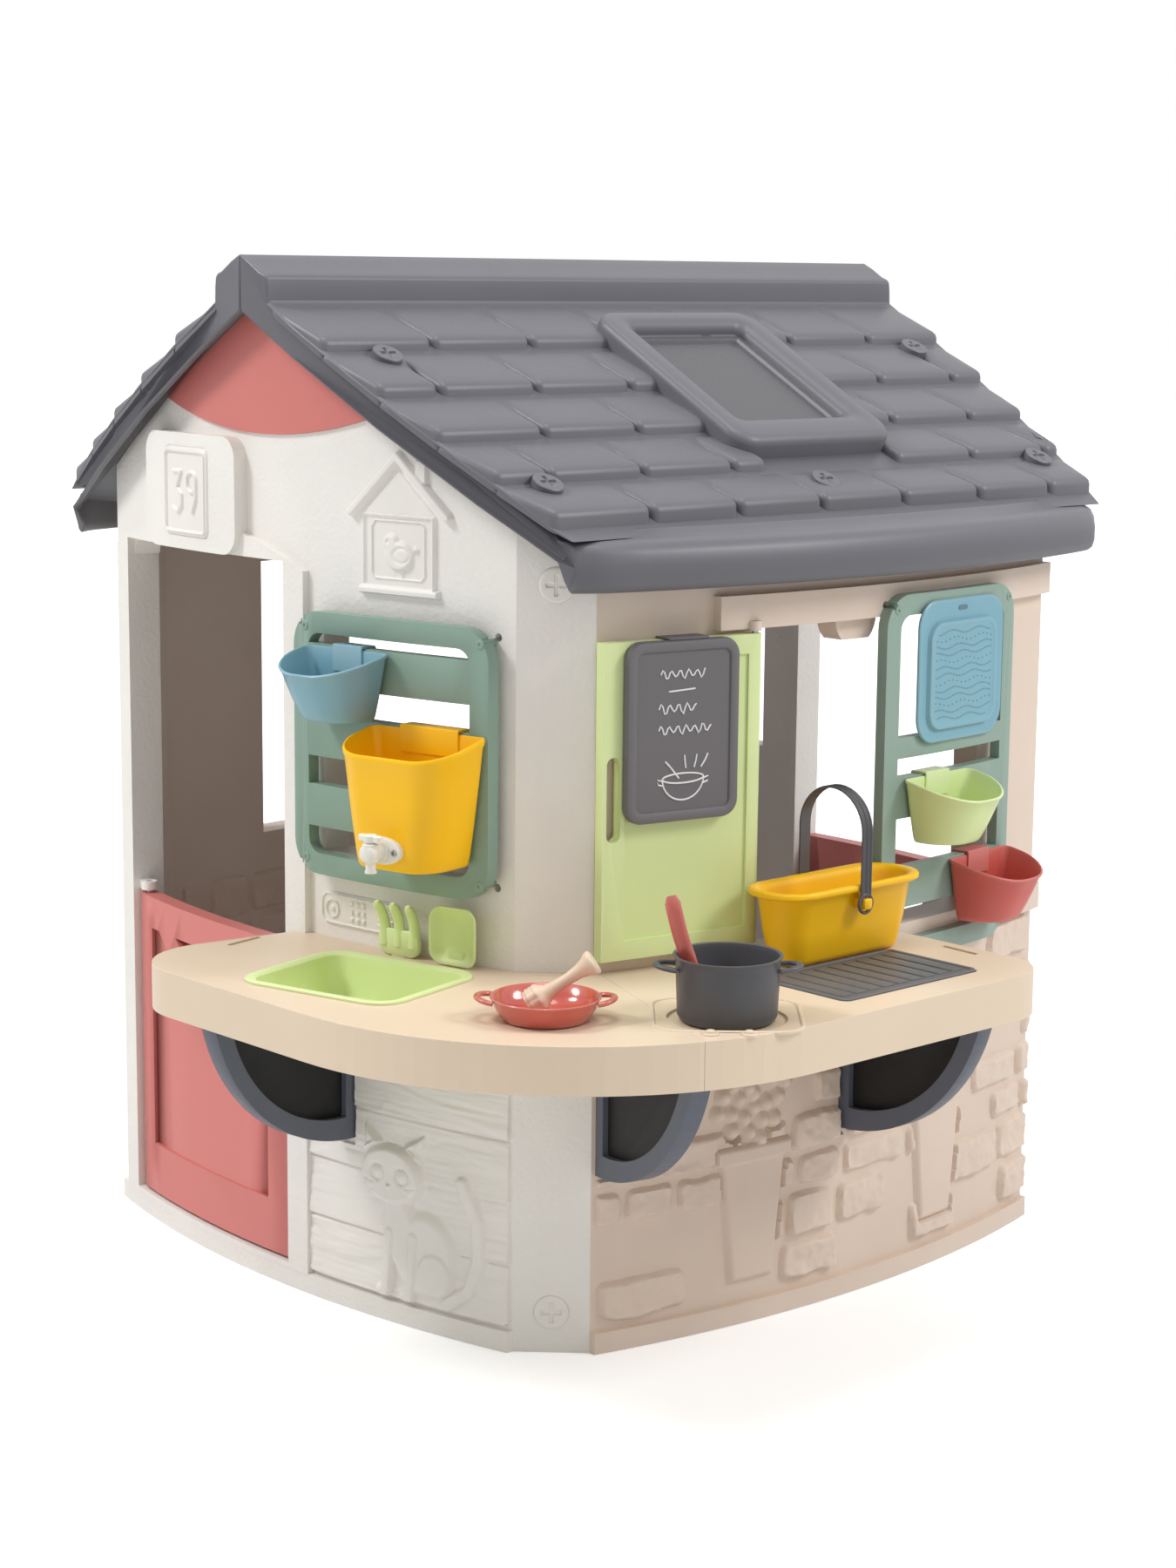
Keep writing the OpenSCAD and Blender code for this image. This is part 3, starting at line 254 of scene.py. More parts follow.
def lathe(bm, profile, steps=48, matrix=None):
    """Turns a profile of (r, z) about Z and closes both its ends with flat caps."""
    rings = [circle(r, z, steps) for r, z in profile]
    loft(bm, rings if matrix is None else placed(matrix, rings))


class Outline(list):
    """A closed line of points that knows how to draw itself further in."""
    def __init__(self, points, inner):
        super().__init__(points)
        self.inner = inner


def round_rect(w, d, r, steps=8):
    """Points of a rectangle with rounded corners, centred, anticlockwise."""
    r = min(r, w / 2 - 1e-5, d / 2 - 1e-5)
    points = Outline([], lambda i: round_rect(w - 2 * i, d - 2 * i, max(r - i, 0.0006), steps))
    for cx, cy, start in ((w / 2 - r, d / 2 - r, 0), (-w / 2 + r, d / 2 - r, 90),
                          (-w / 2 + r, -d / 2 + r, 180), (w / 2 - r, -d / 2 + r, 270)):
        for k in range(steps + 1):
            a = math.radians(start + 90 * k / steps)
            points.append((cx + r * math.cos(a), cy + r * math.sin(a)))
    return points


def at_z(points, z, shift=(0, 0)):
    return [Vector((x + shift[0], y + shift[1], z)) for x, y in points]


def tube(bm, path, radii, sides=12, flat=1.0):
    """A round bar along a path; flat squashes it across its first side direction."""
    rings = []
    points = [Vector(p) for p in path]
    up = None
    for k, p in enumerate(points):
        tangent = (points[min(k + 1, len(points) - 1)] - points[max(k - 1, 0)]).normalized()
        if up is None:
            seed = Vector((0, 0, 1)) if abs(tangent.z) < 0.9 else Vector((0, 1, 0))
            up = (seed - tangent * seed.dot(tangent)).normalized()
        else:
            up = (up - tangent * up.dot(tangent)).normalized()
        side = tangent.cross(up)
        r = radii[k] if isinstance(radii, (list, tuple)) else radii
        rings.append([p + side * (r * math.cos(2 * math.pi * j / sides))
                      + up * (r * flat * math.sin(2 * math.pi * j / sides)) for j in range(sides)])
    loft(bm, rings)


def slab(bm, outline, z0, z1, bevel, steps=3):
    """An outline raised from z0 to z1 with its two rims rounded off."""
    rings = []
    turns = [math.pi / 2 * k / steps for k in range(steps + 1)]
    for z, sign, order in ((z0, 1, turns[::-1]), (z1, -1, turns)):
        for t in order:
            inset, rise = bevel * (1 - math.cos(t)), bevel * (1 - math.sin(t))
            rings.append(at_z(inset_ring(outline, inset), z + sign * rise))
    loft(bm, rings)


def inset_ring(outline, amount):
    """The outline moved inwards, by its own rule or else along each point's normal."""
    if isinstance(outline, Outline):
        return outline.inner(amount)
    n = len(outline)
    out = []
    for k in range(n):
        a, b, c = Vector(outline[k - 1]), Vector(outline[k]), Vector(outline[(k + 1) % n])
        d1, d2 = (b - a), (c - b)
        d1 = d1.normalized() if d1.length > 1e-9 else d2.normalized()
        d2 = d2.normalized() if d2.length > 1e-9 else d1
        t = (d1 + d2).normalized()
        out.append((b.x - t.y * amount, b.y + t.x * amount))
    return out


# ---------- relief on the walls ----------
def value_noise(x, y, seed):
    """Smooth noise in 0..1 at whole-number cells, for arrays."""
    rng = np.random.default_rng(seed)
    table = rng.random((256, 256))
    xi, yi = np.floor(x).astype(int), np.floor(y).astype(int)
    fx, fy = x - xi, y - yi
    fx, fy = fx * fx * (3 - 2 * fx), fy * fy * (3 - 2 * fy)
    a, b = table[xi % 256, yi % 256], table[(xi + 1) % 256, yi % 256]
    c, d = table[xi % 256, (yi + 1) % 256], table[(xi + 1) % 256, (yi + 1) % 256]
    return (a * (1 - fx) + b * fx) * (1 - fy) + (c * (1 - fx) + d * fx) * fy


def fractal(x, y, seed, octaves=4):
    total = sum(value_noise(x * 2 ** k, y * 2 ** k, seed + k) / 2 ** k for k in range(octaves))
    return total / sum(1 / 2 ** k for k in range(octaves))


def d_box(x, z, cx, cz, hx, hz, r=0.0):
    qx, qz = np.abs(x - cx) - hx + r, np.abs(z - cz) - hz + r
    return np.hypot(np.maximum(qx, 0), np.maximum(qz, 0)) + np.minimum(np.maximum(qx, qz), 0) - r


def d_oval(x, z, cx, cz, a, b, turn=0.0):
    c, s = math.cos(math.radians(turn)), math.sin(math.radians(turn))
    px, pz = (x - cx) * c + (z - cz) * s, -(x - cx) * s + (z - cz) * c
    return (np.hypot(px / a, pz / b) - 1) * min(a, b)


def d_bar(x, z, p, q, r):
    px, pz, bx, bz = x - p[0], z - p[1], q[0] - p[0], q[1] - p[1]
    t = np.clip((px * bx + pz * bz) / (bx * bx + bz * bz), 0, 1)
    return np.hypot(px - bx * t, pz - bz * t) - r


def d_chain(x, z, points, r):
    return np.minimum.reduce([d_bar(x, z, p, q, r) for p, q in zip(points, points[1:])])


def d_tri(x, z, a, b, c):
    turn = 1 if (b[0] - a[0]) * (c[1] - a[1]) - (b[1] - a[1]) * (c[0] - a[0]) > 0 else -1
    edges = []
    for p, q in ((a, b), (b, c), (c, a)):
        nx, nz = turn * (q[1] - p[1]), turn * (p[0] - q[0])
        edges.append(((x - p[0]) * nx + (z - p[1]) * nz) / math.hypot(nx, nz))
    return np.maximum.reduce(edges)


def raised(d, height, soft):
    """Height over an inside (d < 0), rising over the soft distance."""
    t = np.clip(-d / soft, 0, 1)
    return height * t * t * (3 - 2 * t)


def lift(h, d, height, soft):
    """A height field with one more raised shape in it."""
    return np.maximum(h, raised(d, height, soft))


def relief(name, side, u0, u1, z0, z1, step, height, mat, base=0.0, way=1, node=None):
    """A moulded relief: a skin over the wall wherever height(u, z) is above nothing."""
    nu, nz = max(2, int((u1 - u0) / step)), max(2, int((z1 - z0) / step))
    us, zs = np.linspace(u0, u1, nu + 1), np.linspace(z0, z1, nz + 1)
    U, Z = np.meshgrid(us, zs, indexing="ij")
    H = height(U, Z)
    off = np.where(H > 1e-5, H, -0.0015)
    off[0, :] = off[-1, :] = off[:, 0] = off[:, -1] = -0.0015
    X, Y = wall_point(side, U, base + way * off)
    BX, BY = wall_point(side, U, base - way * 0.006)
    used = (H[:-1, :-1] > 1e-5) | (H[1:, :-1] > 1e-5) | (H[:-1, 1:] > 1e-5) | (H[1:, 1:] > 1e-5)
    bm = bmesh.new()
    front, back = {}, {}

    def vert(store, xs, ys, i, j):
        if (i, j) not in store:
            store[i, j] = bm.verts.new((xs[i, j], ys[i, j], Z[i, j]))
        return store[i, j]

    for i, j in zip(*np.nonzero(used)):
        corners = ((i, j), (i + 1, j), (i + 1, j + 1), (i, j + 1))
        bm.faces.new([vert(front, X, Y, *c) for c in corners])
        bm.faces.new([vert(back, BX, BY, *c) for c in corners][::-1])
        for (a, b), (di, dj) in zip(zip(corners, corners[1:] + corners[:1]),
                                    ((0, -1), (1, 0), (0, 1), (-1, 0))):
            ni, nj = i + di, j + dj
            inside = 0 <= ni < used.shape[0] and 0 <= nj < used.shape[1] and used[ni, nj]
            if not inside:
                bm.faces.new((vert(front, X, Y, *b), vert(front, X, Y, *a),
                              vert(back, BX, BY, *a), vert(back, BX, BY, *b)))
    return piece(name, bm, mat, angle=50, node=node)


# ---------- camera, light and floor ----------
LENS_MM = 67.19
CAMERA_TURNS = (47.13, 9.83, 0.55)  # degrees: round the house, down and sideways
CAMERA_PLACE = Vector((CX + 3.0377, CY - 2.7985, 1.3252))
WORLD_LIGHT, WORLD_SEEN = 0.50, 1.0
FLOOR_R, FLOOR_GREY = 30, 0.90
GLOW_FROM, GLOW_TO = (1.2, 0.34), (4.5, 0.95)  # distance from the house and the floor's glow there


def make_camera():
    """The photograph's view: 67 mm lens, low and to the right of the front gable."""
    azimuth, pitch, roll = (math.radians(a) for a in CAMERA_TURNS)
    right = Vector((math.cos(azimuth), math.sin(azimuth), 0))
    forward = Vector((-math.sin(azimuth) * math.cos(pitch), math.cos(azimuth) * math.cos(pitch),
                      -math.sin(pitch)))
    up = right.cross(forward)
    right, up = (right * math.cos(roll) + up * math.sin(roll),
                 up * math.cos(roll) - right * math.sin(roll))
    data = bpy.data.cameras.new("camera")
    data.sensor_width = 36
    data.lens = LENS_MM
    data.clip_end = 60
    camera = bpy.data.objects.new("camera", data)
    m = Matrix((right, up, -forward)).transposed().to_4x4()
    m.translation = CAMERA_PLACE
    camera.matrix_world = m
    bpy.context.scene.collection.objects.link(camera)
    bpy.context.scene.camera = camera


def area_light(name, place, aim, size, power):
    data = bpy.data.lights.new(name, "AREA")
    data.shape = "DISK"
    data.size = size
    data.energy = power
    light = bpy.data.objects.new(name, data)
    light.location = place
    light.rotation_euler = (Vector(aim) - Vector(place)).to_track_quat("-Z", "Y").to_euler()
    bpy.context.scene.collection.objects.link(light)


def make_world():
    """An even white surround that looks brighter than the light it gives."""
    world = bpy.data.worlds.new("studio")
    world.use_nodes = True
    tree = world.node_tree
    background = tree.nodes["Background"]
    background.inputs["Color"].default_value = (1, 1, 1, 1)
    path = add_node(tree, "LightPath")
    seen = add_node(tree, "Math")
    seen.operation = "MAXIMUM"
    tree.links.new(path.outputs["Is Camera Ray"], seen.inputs[0])
    tree.links.new(path.outputs["Is Glossy Ray"], seen.inputs[1])
    level = add_node(tree, "MapRange", To_Min=WORLD_LIGHT, To_Max=WORLD_SEEN)
    tree.links.new(seen.outputs[0], level.inputs["Value"])
    tree.links.new(level.outputs["Result"], background.inputs["Strength"])
    bpy.context.scene.world = world


def floor_material():
    """Pale grey that glows a little to the camera, and more so far from the house."""
    mat = bpy.data.materials.new("floor")
    mat.use_nodes = True
    tree = mat.node_tree
    link = tree.links.new
    bsdf = tree.nodes["Principled BSDF"]
    bsdf.inputs["Base Color"].default_value = (FLOOR_GREY, FLOOR_GREY, FLOOR_GREY, 1)
    bsdf.inputs["Roughness"].default_value = 0.9
    bsdf.inputs["Emission Color"].default_value = (1, 1, 1, 1)
    path = add_node(tree, "LightPath")
    coord = add_node(tree, "TexCoord")
    away = add_node(tree, "VectorMath")
    away.operation = "LENGTH"
    link(coord.outputs["Object"], away.inputs[0])
    fade = add_node(tree, "MapRange", From_Min=GLOW_FROM[0], From_Max=GLOW_TO[0],
                    To_Min=GLOW_FROM[1], To_Max=GLOW_TO[1])
    link(away.outputs["Value"], fade.inputs["Value"])
    glow = add_node(tree, "Math")
    glow.operation = "MULTIPLY"
    link(path.outputs["Is Camera Ray"], glow.inputs[0])
    link(fade.outputs["Result"], glow.inputs[1])
    link(glow.outputs["Value"], bsdf.inputs["Emission Strength"])
    return mat


def make_studio():
    scene = bpy.context.scene
    scene.view_settings.view_transform = "Standard"
    make_world()
    aim = (CX, CY, 0.5)
    area_light("key", (CX - 1.9, CY - 3.2, 4.3), aim, 1.3, 118)
    area_light("fill", (CX + 3.4, CY + 1.9, 3.6), aim, 1.6, 95)
    area_light("top", (CX + 0.6, CY - 0.6, 5.0), aim, 2.4, 70)
    bm = bmesh.new()
    bmesh.ops.create_circle(bm, cap_ends=True, segments=64, radius=FLOOR_R)
    mesh = bpy.data.meshes.new("floor")
    bm.to_mesh(mesh)
    bm.free()
    mesh.materials.append(floor_material())
    floor = bpy.data.objects.new("floor", mesh)
    floor.location = (CX, CY, -0.0005)
    scene.collection.objects.link(floor)


def soften(obj, width, segments=2, angle=35):
    """Rounds an object's sharp edges."""
    soft = obj.modifiers.new("soft", "BEVEL")
    soft.width = width
    soft.segments = segments
    soft.limit_method = "ANGLE"
    soft.angle_limit = math.radians(angle)
    return soft


def paint(node, mat, bevel=0.0, segments=2, angle=35):
    """A CAD node keeps its shape and gets a finish, with softened edges where bevel is given."""
    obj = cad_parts[node]
    obj.data.materials.clear()
    obj.data.materials.append(mat)
    if bevel:
        weld = obj.modifiers.new("weld", "WELD")
        weld.merge_threshold = 0.00005
        flat = obj.modifiers.new("flat", "DECIMATE")
        flat.decimate_type = "DISSOLVE"
        flat.angle_limit = math.radians(1.0)
        soften(obj, bevel, segments, angle).harden_normals = True


make_camera()
make_studio()

FINISHES = {
    WHITE: ["front_wall", "rear_wall"], BEIGE: ["right_wall", "left_wall"],
    WHITE_SMOOTH: ["number_plaque"],
    CORAL: ["gable_panel_front", "gable_panel_rear", "cup_coral"],
    STEEL: ["corner_screws", "roof_screws", "door_pins", "shutter_pins", "tap_screws"],
    SLATE: ["roof_right", "roof_left"], PANE: ["skylight_right", "skylight_left"],
    SAGE: ["trellis_plugs"], CHARCOAL: ["pot", "basket_handle"], DRAIN_GREY: ["drain_plate"],
    TAP_WHITE: ["tap_body", "tap_nut", "tap_handle"], YELLOW: ["basket", "dispenser"],
    GREEN: ["basin", "rake", "shovel", "cup_green"], MASHER: ["masher"],
    BLUE: ["cup_blue", "sieve"], CORAL_GLOSS: ["ladle", "pan"], CHALKBOARD: ["chalkboard"],
}
SOFT_FINISHES = {
    "door_front": (CORAL, 0.004), "door_rear": (CORAL, 0.004),
    "trellis_front": (SAGE, 0.003), "trellis_right": (SAGE, 0.003),
    "shutter_right": (GREEN, 0.0025), "shutter_left_front": (GREEN, 0.0025),
    "shutter_left_rear": (GREEN, 0.0025),
    "counter_front": (TAN, 0.006, 3, 40), "counter_right": (TAN, 0.006, 3, 40),
}
for finish, names in FINISHES.items():
    for name in names:
        paint(name, finish)
for name, how in SOFT_FINISHES.items():
    paint(name, *how)
for name in BRACKETS:
    paint(name, BRACKET_GREY, 0.003)


# ---------- roof ----------
# On a roof half, x runs down from the ridge, and the left half is the right one turned round.
ROW_EDGES = [0.054, 0.157, 0.2535, 0.3435, 0.427, 0.504]
TILE_STEP = 0.017
ROOF_T = 0.040
SKIRT_DROP = 0.056
GUTTER_Z = 1.022
SKY_ALONG, SKY_Y, SKY_L, SKY_W, SKY_PROUD = 0.304, 0.050, 0.330, 0.300, 0.016
PANE_L, PANE_W, PANE_ALONG = 0.231, 0.210, 0.292
SCREWS = [(0.185, -0.494), (0.185, 0.494), (0.447, -0.462), (0.447, 0.462), (0.470, 0.0)]


def arc_reach(x, reach):
    """How far the bowed outline reaches at a place x along it."""
    return math.sqrt((ARC_R + reach) ** 2 - x * x) - (ARC_R - WALL_CHORD - WALL_BOW)


def tile_plane(x):
    return TILE_Z - SLOPE * x


def roof_turn(half):
    turn = Matrix.Translation((CX, CY, 0))
    return turn if half == "right" else turn @ Matrix.Rotation(math.pi, 4, "Z")


def on_slope(along, y, up):
    c, s = math.cos(ROOF_ANGLE), math.sin(ROOF_ANGLE)
    return Vector((along * c + up * s, y, TILE_Z - along * s + up * c))


def roof_sheet(half):
    """The sheet below the tiles, with its ridge cap, gutter lip and the skirts at the verges."""
    sunk = TILE_STEP - 0.0015
    top = [(0.0003, RIDGE_Z), (0.018, RIDGE_Z - 0.0085), (0.040, RIDGE_Z - 0.0215),
           (0.049, RIDGE_Z - 0.0245), (0.0535, RIDGE_Z - 0.0285), (0.055, RIDGE_Z - 0.040)]
    for a, b in zip(ROW_EDGES, ROW_EDGES[1:]):
        top += [(a + 0.002, tile_plane(a) - sunk), ((a + b) / 2, tile_plane((a + b) / 2) - sunk)]
    top += [(0.505, tile_plane(0.505) - 0.020), (0.530, tile_plane(0.530) - 0.021)]
    fracs = [-1, -0.985, -0.955] + [k / 12 for k in range(-11, 12)] + [0.955, 0.985, 1]
    rings = []
    for f in fracs:
        ring = []
        drop = SKIRT_DROP if abs(f) > 0.97 else ROOF_T
        for x, z in top:
            ring.append((x, f * (arc_reach(x, VERGE_REACH) - 0.0004), z))
        y_end = arc_reach(0.55, VERGE_REACH)
        y = f * y_end
        lip = arc_reach(y, EAVE_REACH)
        end_drop = 0.012 * max(0.0, abs(f) - 0.93) / 0.07
        for back, z in ((0.058, 0.0090), (0.046, 0.0015), (0.034, -0.0020), (0.020, -0.0030),
                        (0.009, -0.0080), (0.0025, -0.0180), (0.0, -0.0320), (0.0, -0.0500),
                        (0.003, -0.0590), (0.010, -0.0640), (0.016, -0.0600), (0.020, -0.0500)):
            inset = end_drop * (1.0 if back < 0.04 else 0.4)
            ring.append((lip - back - inset, y * (1 - 0.4 * end_drop), GUTTER_Z + z))
        for x in (0.545, 0.50, 0.40, 0.25, 0.10, 0.0003):
            x = min(x, lip - 0.030)
            under = max(drop, ROOF_T)
            ring.append((x, f * (arc_reach(x, VERGE_REACH) - 0.0004), tile_plane(x) - under))
        rings.append([Vector(p) for p in ring])
    bm = bmesh.new()
    loft(bm, rings)
    obj = piece(f"roof_sheet_{half}", bm, SLATE, node=f"roof_{half}",
                place=roof_turn(half))
    soften(obj, 0.004, 2, 40)


def tile_outline(x0, x1, lows, highs, r=0.010, steps=4):
    """A tile seen from above as (x, y), with its two side edges given at its top and bottom."""
    corners = [(x0, lows[0]), (x1, lows[1]), (x1, highs[1]), (x0, highs[0])]
    points = []
    for k, corner in enumerate(corners):
        b = Vector(corner)
        before = (Vector(corners[k - 1]) - b).normalized()
        after = (Vector(corners[(k + 1) % 4]) - b).normalized()
        radius = r if k in (1, 2) else 0.002
        for j in range(steps + 1):
            t = j / steps
            points.append(b + before * radius * (1 - t) ** 2 + after * radius * t ** 2)
    return [(p.x, p.y) for p in points]


def wedge(x, x0, x1):
    """How far a tile's face lies under the tile plane: sunk at its top and flush at its bottom."""
    t = min(1.0, max(0.0, (x - x0) / (x1 - x0)))
    return TILE_STEP * (1 - t) ** 1.15


def add_tile(bm, x0, x1, lows, highs):
    """One wedge-shaped tile with soft edges and a slightly pillowed face."""
    mid_y = (lows[0] + highs[0]) / 2
    rings = []
    for inset, up in ((0.0, -0.020), (0.0, -0.0075), (0.0012, -0.0032), (0.0045, -0.0006),
                      (0.010, 0.0006), (0.022, 0.0015)):
        ring = []
        low_in, high_in = [y + inset for y in lows], [y - inset for y in highs]
        for x, y in tile_outline(x0 + inset, x1 - inset, low_in, high_in,
                                 max(0.010 - inset, 0.003)):
            height = tile_plane(x) - wedge(x, x0, x1) + up
            if up < -0.01:
                height = tile_plane(x) - TILE_STEP - 0.009
            ring.append(Vector((x, y, height)))
        rings.append(ring)
    rows = loft(bm, rings, cap_end=False)
    centre = bm.verts.new(((x0 + x1) / 2, mid_y,
                           tile_plane((x0 + x1) / 2) - wedge((x0 + x1) / 2, x0, x1) + 0.0018))
    last = rows[-1]
    for a, b in zip(last, last[1:] + last[:1]):
        bm.faces.new((a, b, centre))


def roof_tiles(half):
    rng = random.Random(7)
    bm = bmesh.new()
    pitches = [(0.1645, -0.402), (0.1615, -0.472), (0.1615, -0.380), (0.1560, -0.445),
               (0.1520, -0.348)]
    groove = 0.0035
    sky_lo, sky_hi = SKY_Y - SKY_W / 2, SKY_Y + SKY_W / 2
    for row, (pitch, first) in enumerate(pitches):
        x0, x1 = ROW_EDGES[row] + 0.001, ROW_EDGES[row + 1] + 0.003
        v0, v1 = arc_reach(x0, VERGE_REACH) - 0.001, arc_reach(x1, VERGE_REACH) - 0.001
        cuts = []
        y = first
        while y < v1 - 0.03:
            lean = rng.uniform(0.000, 0.012)
            cuts.append((y - lean / 2 + rng.uniform(-0.004, 0.004), y + lean / 2))
            y += pitch
        edges = [(-v0, -v1)] + cuts + [(v0, v1)]
        for low, high in zip(edges, edges[1:]):
            lows = (low[0] + groove, low[1] + groove) if low is not edges[0] else low
            highs = (high[0] - groove, high[1] - groove) if high is not edges[-1] else high
            if row in (1, 2, 3):
                parts = []
                if lows[0] < sky_lo + 0.02:
                    parts.append((lows, (min(highs[0], sky_lo + 0.03),
                                         min(highs[1], sky_lo + 0.03))))
                if highs[0] > sky_hi - 0.02:
                    parts.append(((max(lows[0], sky_hi - 0.03), max(lows[1], sky_hi - 0.03)),
                                  highs))
            else:
                parts = [(lows, highs)]
            for a, b in parts:
                if b[0] - a[0] > 0.02:
                    add_tile(bm, x0, x1, a, b)
    piece(f"roof_tiles_{half}", bm, SLATE, place=roof_turn(half), angle=60)


def skylight_frame(half):
    """A soft raised frame round the pane, sunk towards its middle."""
    outer = round_rect(SKY_L, SKY_W, 0.034)
    inner = round_rect(PANE_L, PANE_W, 0.014)
    rings = []
    for t, up in ((0.0, -0.022), (0.0, 0.004), (0.03, 0.0095), (0.10, 0.0140), (0.22, SKY_PROUD),
                  (0.60, SKY_PROUD), (0.78, SKY_PROUD - 0.002), (0.92, SKY_PROUD - 0.007),
                  (1.0, SKY_PROUD - 0.013), (1.0, -0.022)):
        ring = []
        for (ox, oy), (ix, iy) in zip(outer, inner):
            x = (SKY_ALONG + ox) * (1 - t) + (PANE_ALONG + ix) * t
            y = oy * (1 - t) + iy * t
            ring.append(on_slope(x, SKY_Y + y, up))
        rings.append(ring)
    bm = bmesh.new()
    closed_loft(bm, rings)
    piece(f"skylight_frame_{half}", bm, SLATE, place=roof_turn(half), angle=50)
    bm = bmesh.new()
    pane = round_rect(PANE_L + 0.002, PANE_W + 0.002, 0.014)
    rings = [[on_slope(PANE_ALONG + x, SKY_Y + y, up) for x, y in pane] for up in (-0.021, -0.002)]
    low = inset_ring(pane, 0.012)
    rings.append([on_slope(PANE_ALONG + x, SKY_Y + y, -0.001) for x, y in low])
    lower = inset_ring(pane, 0.016)
    rings.append([on_slope(PANE_ALONG + x, SKY_Y + y, -0.004) for x, y in lower])
    loft(bm, rings)
    piece(f"skylight_pane_{half}", bm, PANE, node=f"skylight_{half}",
          place=roof_turn(half), angle=30)


def cross_screw(bm, r, t, matrix):
    """A flat round head with a cross-shaped dimple, its face towards +Z."""
    arms, n = 0.62 * r, 48
    rings = []

    def cross(k, reach, wide):
        a = 2 * math.pi * k / n
        c, s = abs(math.cos(a)), abs(math.sin(a))
        big, small = max(c, s), min(c, s)
        d = min(reach / big, wide / small if small > 1e-6 else reach / big)
        return d * math.cos(a), d * math.sin(a)

    for scale, z in ((1.0, -t), (1.0, -0.001), (0.94, 0.0), (0.78, 0.0)):
        rings.append(circle(r * scale, z, n))
    rings.append([Vector((*cross(k, arms, 0.16 * r), 0.0)) for k in range(n)])
    rings.append([Vector((*cross(k, arms * 0.9, 0.10 * r), -0.0025)) for k in range(n)])
    loft(bm, placed(matrix, rings))


def roof_screws():
    for half in ("right", "left"):
        bm = bmesh.new()
        for x, y in SCREWS:
            m = Matrix.Translation((x, y, tile_plane(x) - 0.0015))
            m = m @ Matrix.Rotation(ROOF_ANGLE, 4, "Y")
            cross_screw(bm, 0.020, 0.012, m)
        piece(f"roof_screw_heads_{half}", bm, SLATE, place=roof_turn(half),
              node="roof_screws")


for side in ("right", "left"):
    roof_sheet(side)
    roof_tiles(side)
    skylight_frame(side)
roof_screws()


# ---------- reliefs on the walls ----------
def groove(h, d, width, depth):
    """Cuts a soft line along d = 0 into a height."""
    return h - depth * np.exp(-(d / width) ** 2)


def boards(U, Z):
    """Five wide boards with sawn grain, each a little proud at its lower edge."""
    low, tall = 0.030, 0.0800
    row = np.floor((Z - low) / tall)
    t = (Z - low) / tall - row
    h = 0.0032 + 0.0034 * (1 - t)
    h = np.where(t < 0.035, 0.0006, h)
    grain = fractal(U * 9 + row * 17.3, Z * 210 + 0.02 * np.sin(U * 23), 3, 3)
    wave = fractal(U * 5 + row * 7.7, Z * 55 + 6 * fractal(U * 6, Z * 9, 21), 11, 4)
    h += 0.0046 * (wave - 0.5) + 0.0024 * (grain - 0.5)
    return np.maximum(h, 0.0004)


def cat(U, Z):
    """A seated cat, seen from the side with its face turned to the viewer."""
    body = d_oval(U, Z, 0.292, 0.098, 0.060, 0.068, -14)
    chest = d_oval(U, Z, 0.255, 0.120, 0.040, 0.072, 8)
    body = np.minimum(body, chest)
    h = raised(body, 0.010, 0.020)
    tail = d_chain(U, Z, [(0.330, 0.042), (0.362, 0.066), (0.377, 0.110), (0.374, 0.160),
                          (0.352, 0.205)],
                   0.015)
    h = lift(h, tail, 0.009, 0.010)
    for foot in (0.232, 0.272):
        leg = np.minimum(d_bar(U, Z, (foot + 0.006, 0.120), (foot, 0.046), 0.013),
                         d_oval(U, Z, foot - 0.005, 0.040, 0.022, 0.012))
        h = lift(h, leg, 0.012, 0.008)
    haunch = d_oval(U, Z, 0.312, 0.078, 0.038, 0.040)
    h = lift(h, haunch, 0.0125, 0.016)
    head = d_oval(U, Z, 0.240, 0.196, 0.058, 0.044)
    ears = np.minimum(d_tri(U, Z, (0.188, 0.205), (0.232, 0.236), (0.188, 0.266)),
                      d_tri(U, Z, (0.250, 0.238), (0.293, 0.205), (0.296, 0.262)))
    face = raised(np.minimum(head, ears), 0.0135, 0.012)
    for tip, a, b in (((0.193, 0.256), (0.193, 0.224), (0.215, 0.236)),
                      ((0.290, 0.254), (0.268, 0.236), (0.289, 0.224))):
        face = face - raised(d_tri(U, Z, a, b, tip), 0.0035, 0.004)
    for x in (0.221, 0.262):
        eye = np.hypot(U - x, Z - 0.199)
        face = groove(face, eye - 0.0105, 0.0018, 0.0022)
        face = face + 0.0022 * np.exp(-(eye / 0.005) ** 2)
    face = face + raised(d_tri(U, Z, (0.236, 0.186), (0.2415, 0.179), (0.247, 0.186)), 0.003, 0.002)
    for y in (0.184, 0.176):
        for sx in (-1, 1):
            line = d_bar(U, Z, (0.2415 + sx * 0.026, y),
                         (0.2415 + sx * 0.048, y + (y - 0.180) * 0.9), 0)
            face = groove(face, line, 0.0014, 0.0016)
    return 1.25 * np.maximum(h, face)


def bracket_clear(U, Z, side):
    """Nothing where the counter's brackets meet the wall."""
    mask = np.ones_like(U)
    for bracket_side, u in BRACKETS.values():
        if bracket_side == side:
            mask = np.where((np.abs(U - u) < 0.016) & (Z > 0.222), 0.0, mask)
    return mask


def plank_panel(side):
    def height(U, Z):
        frame_in = d_box(U, Z, 0.2515, 0.2315, 0.1675, 0.1985, 0.006)
        shape = cat(U, Z)
        h = np.where(frame_in < 0, np.maximum(boards(U, Z), shape), 0)
        return h * bracket_clear(U, Z, side)
    relief(f"planks_{side}", side, 0.083, 0.420, 0.032, 0.431, 0.0020, height, WHITE_SMOOTH)


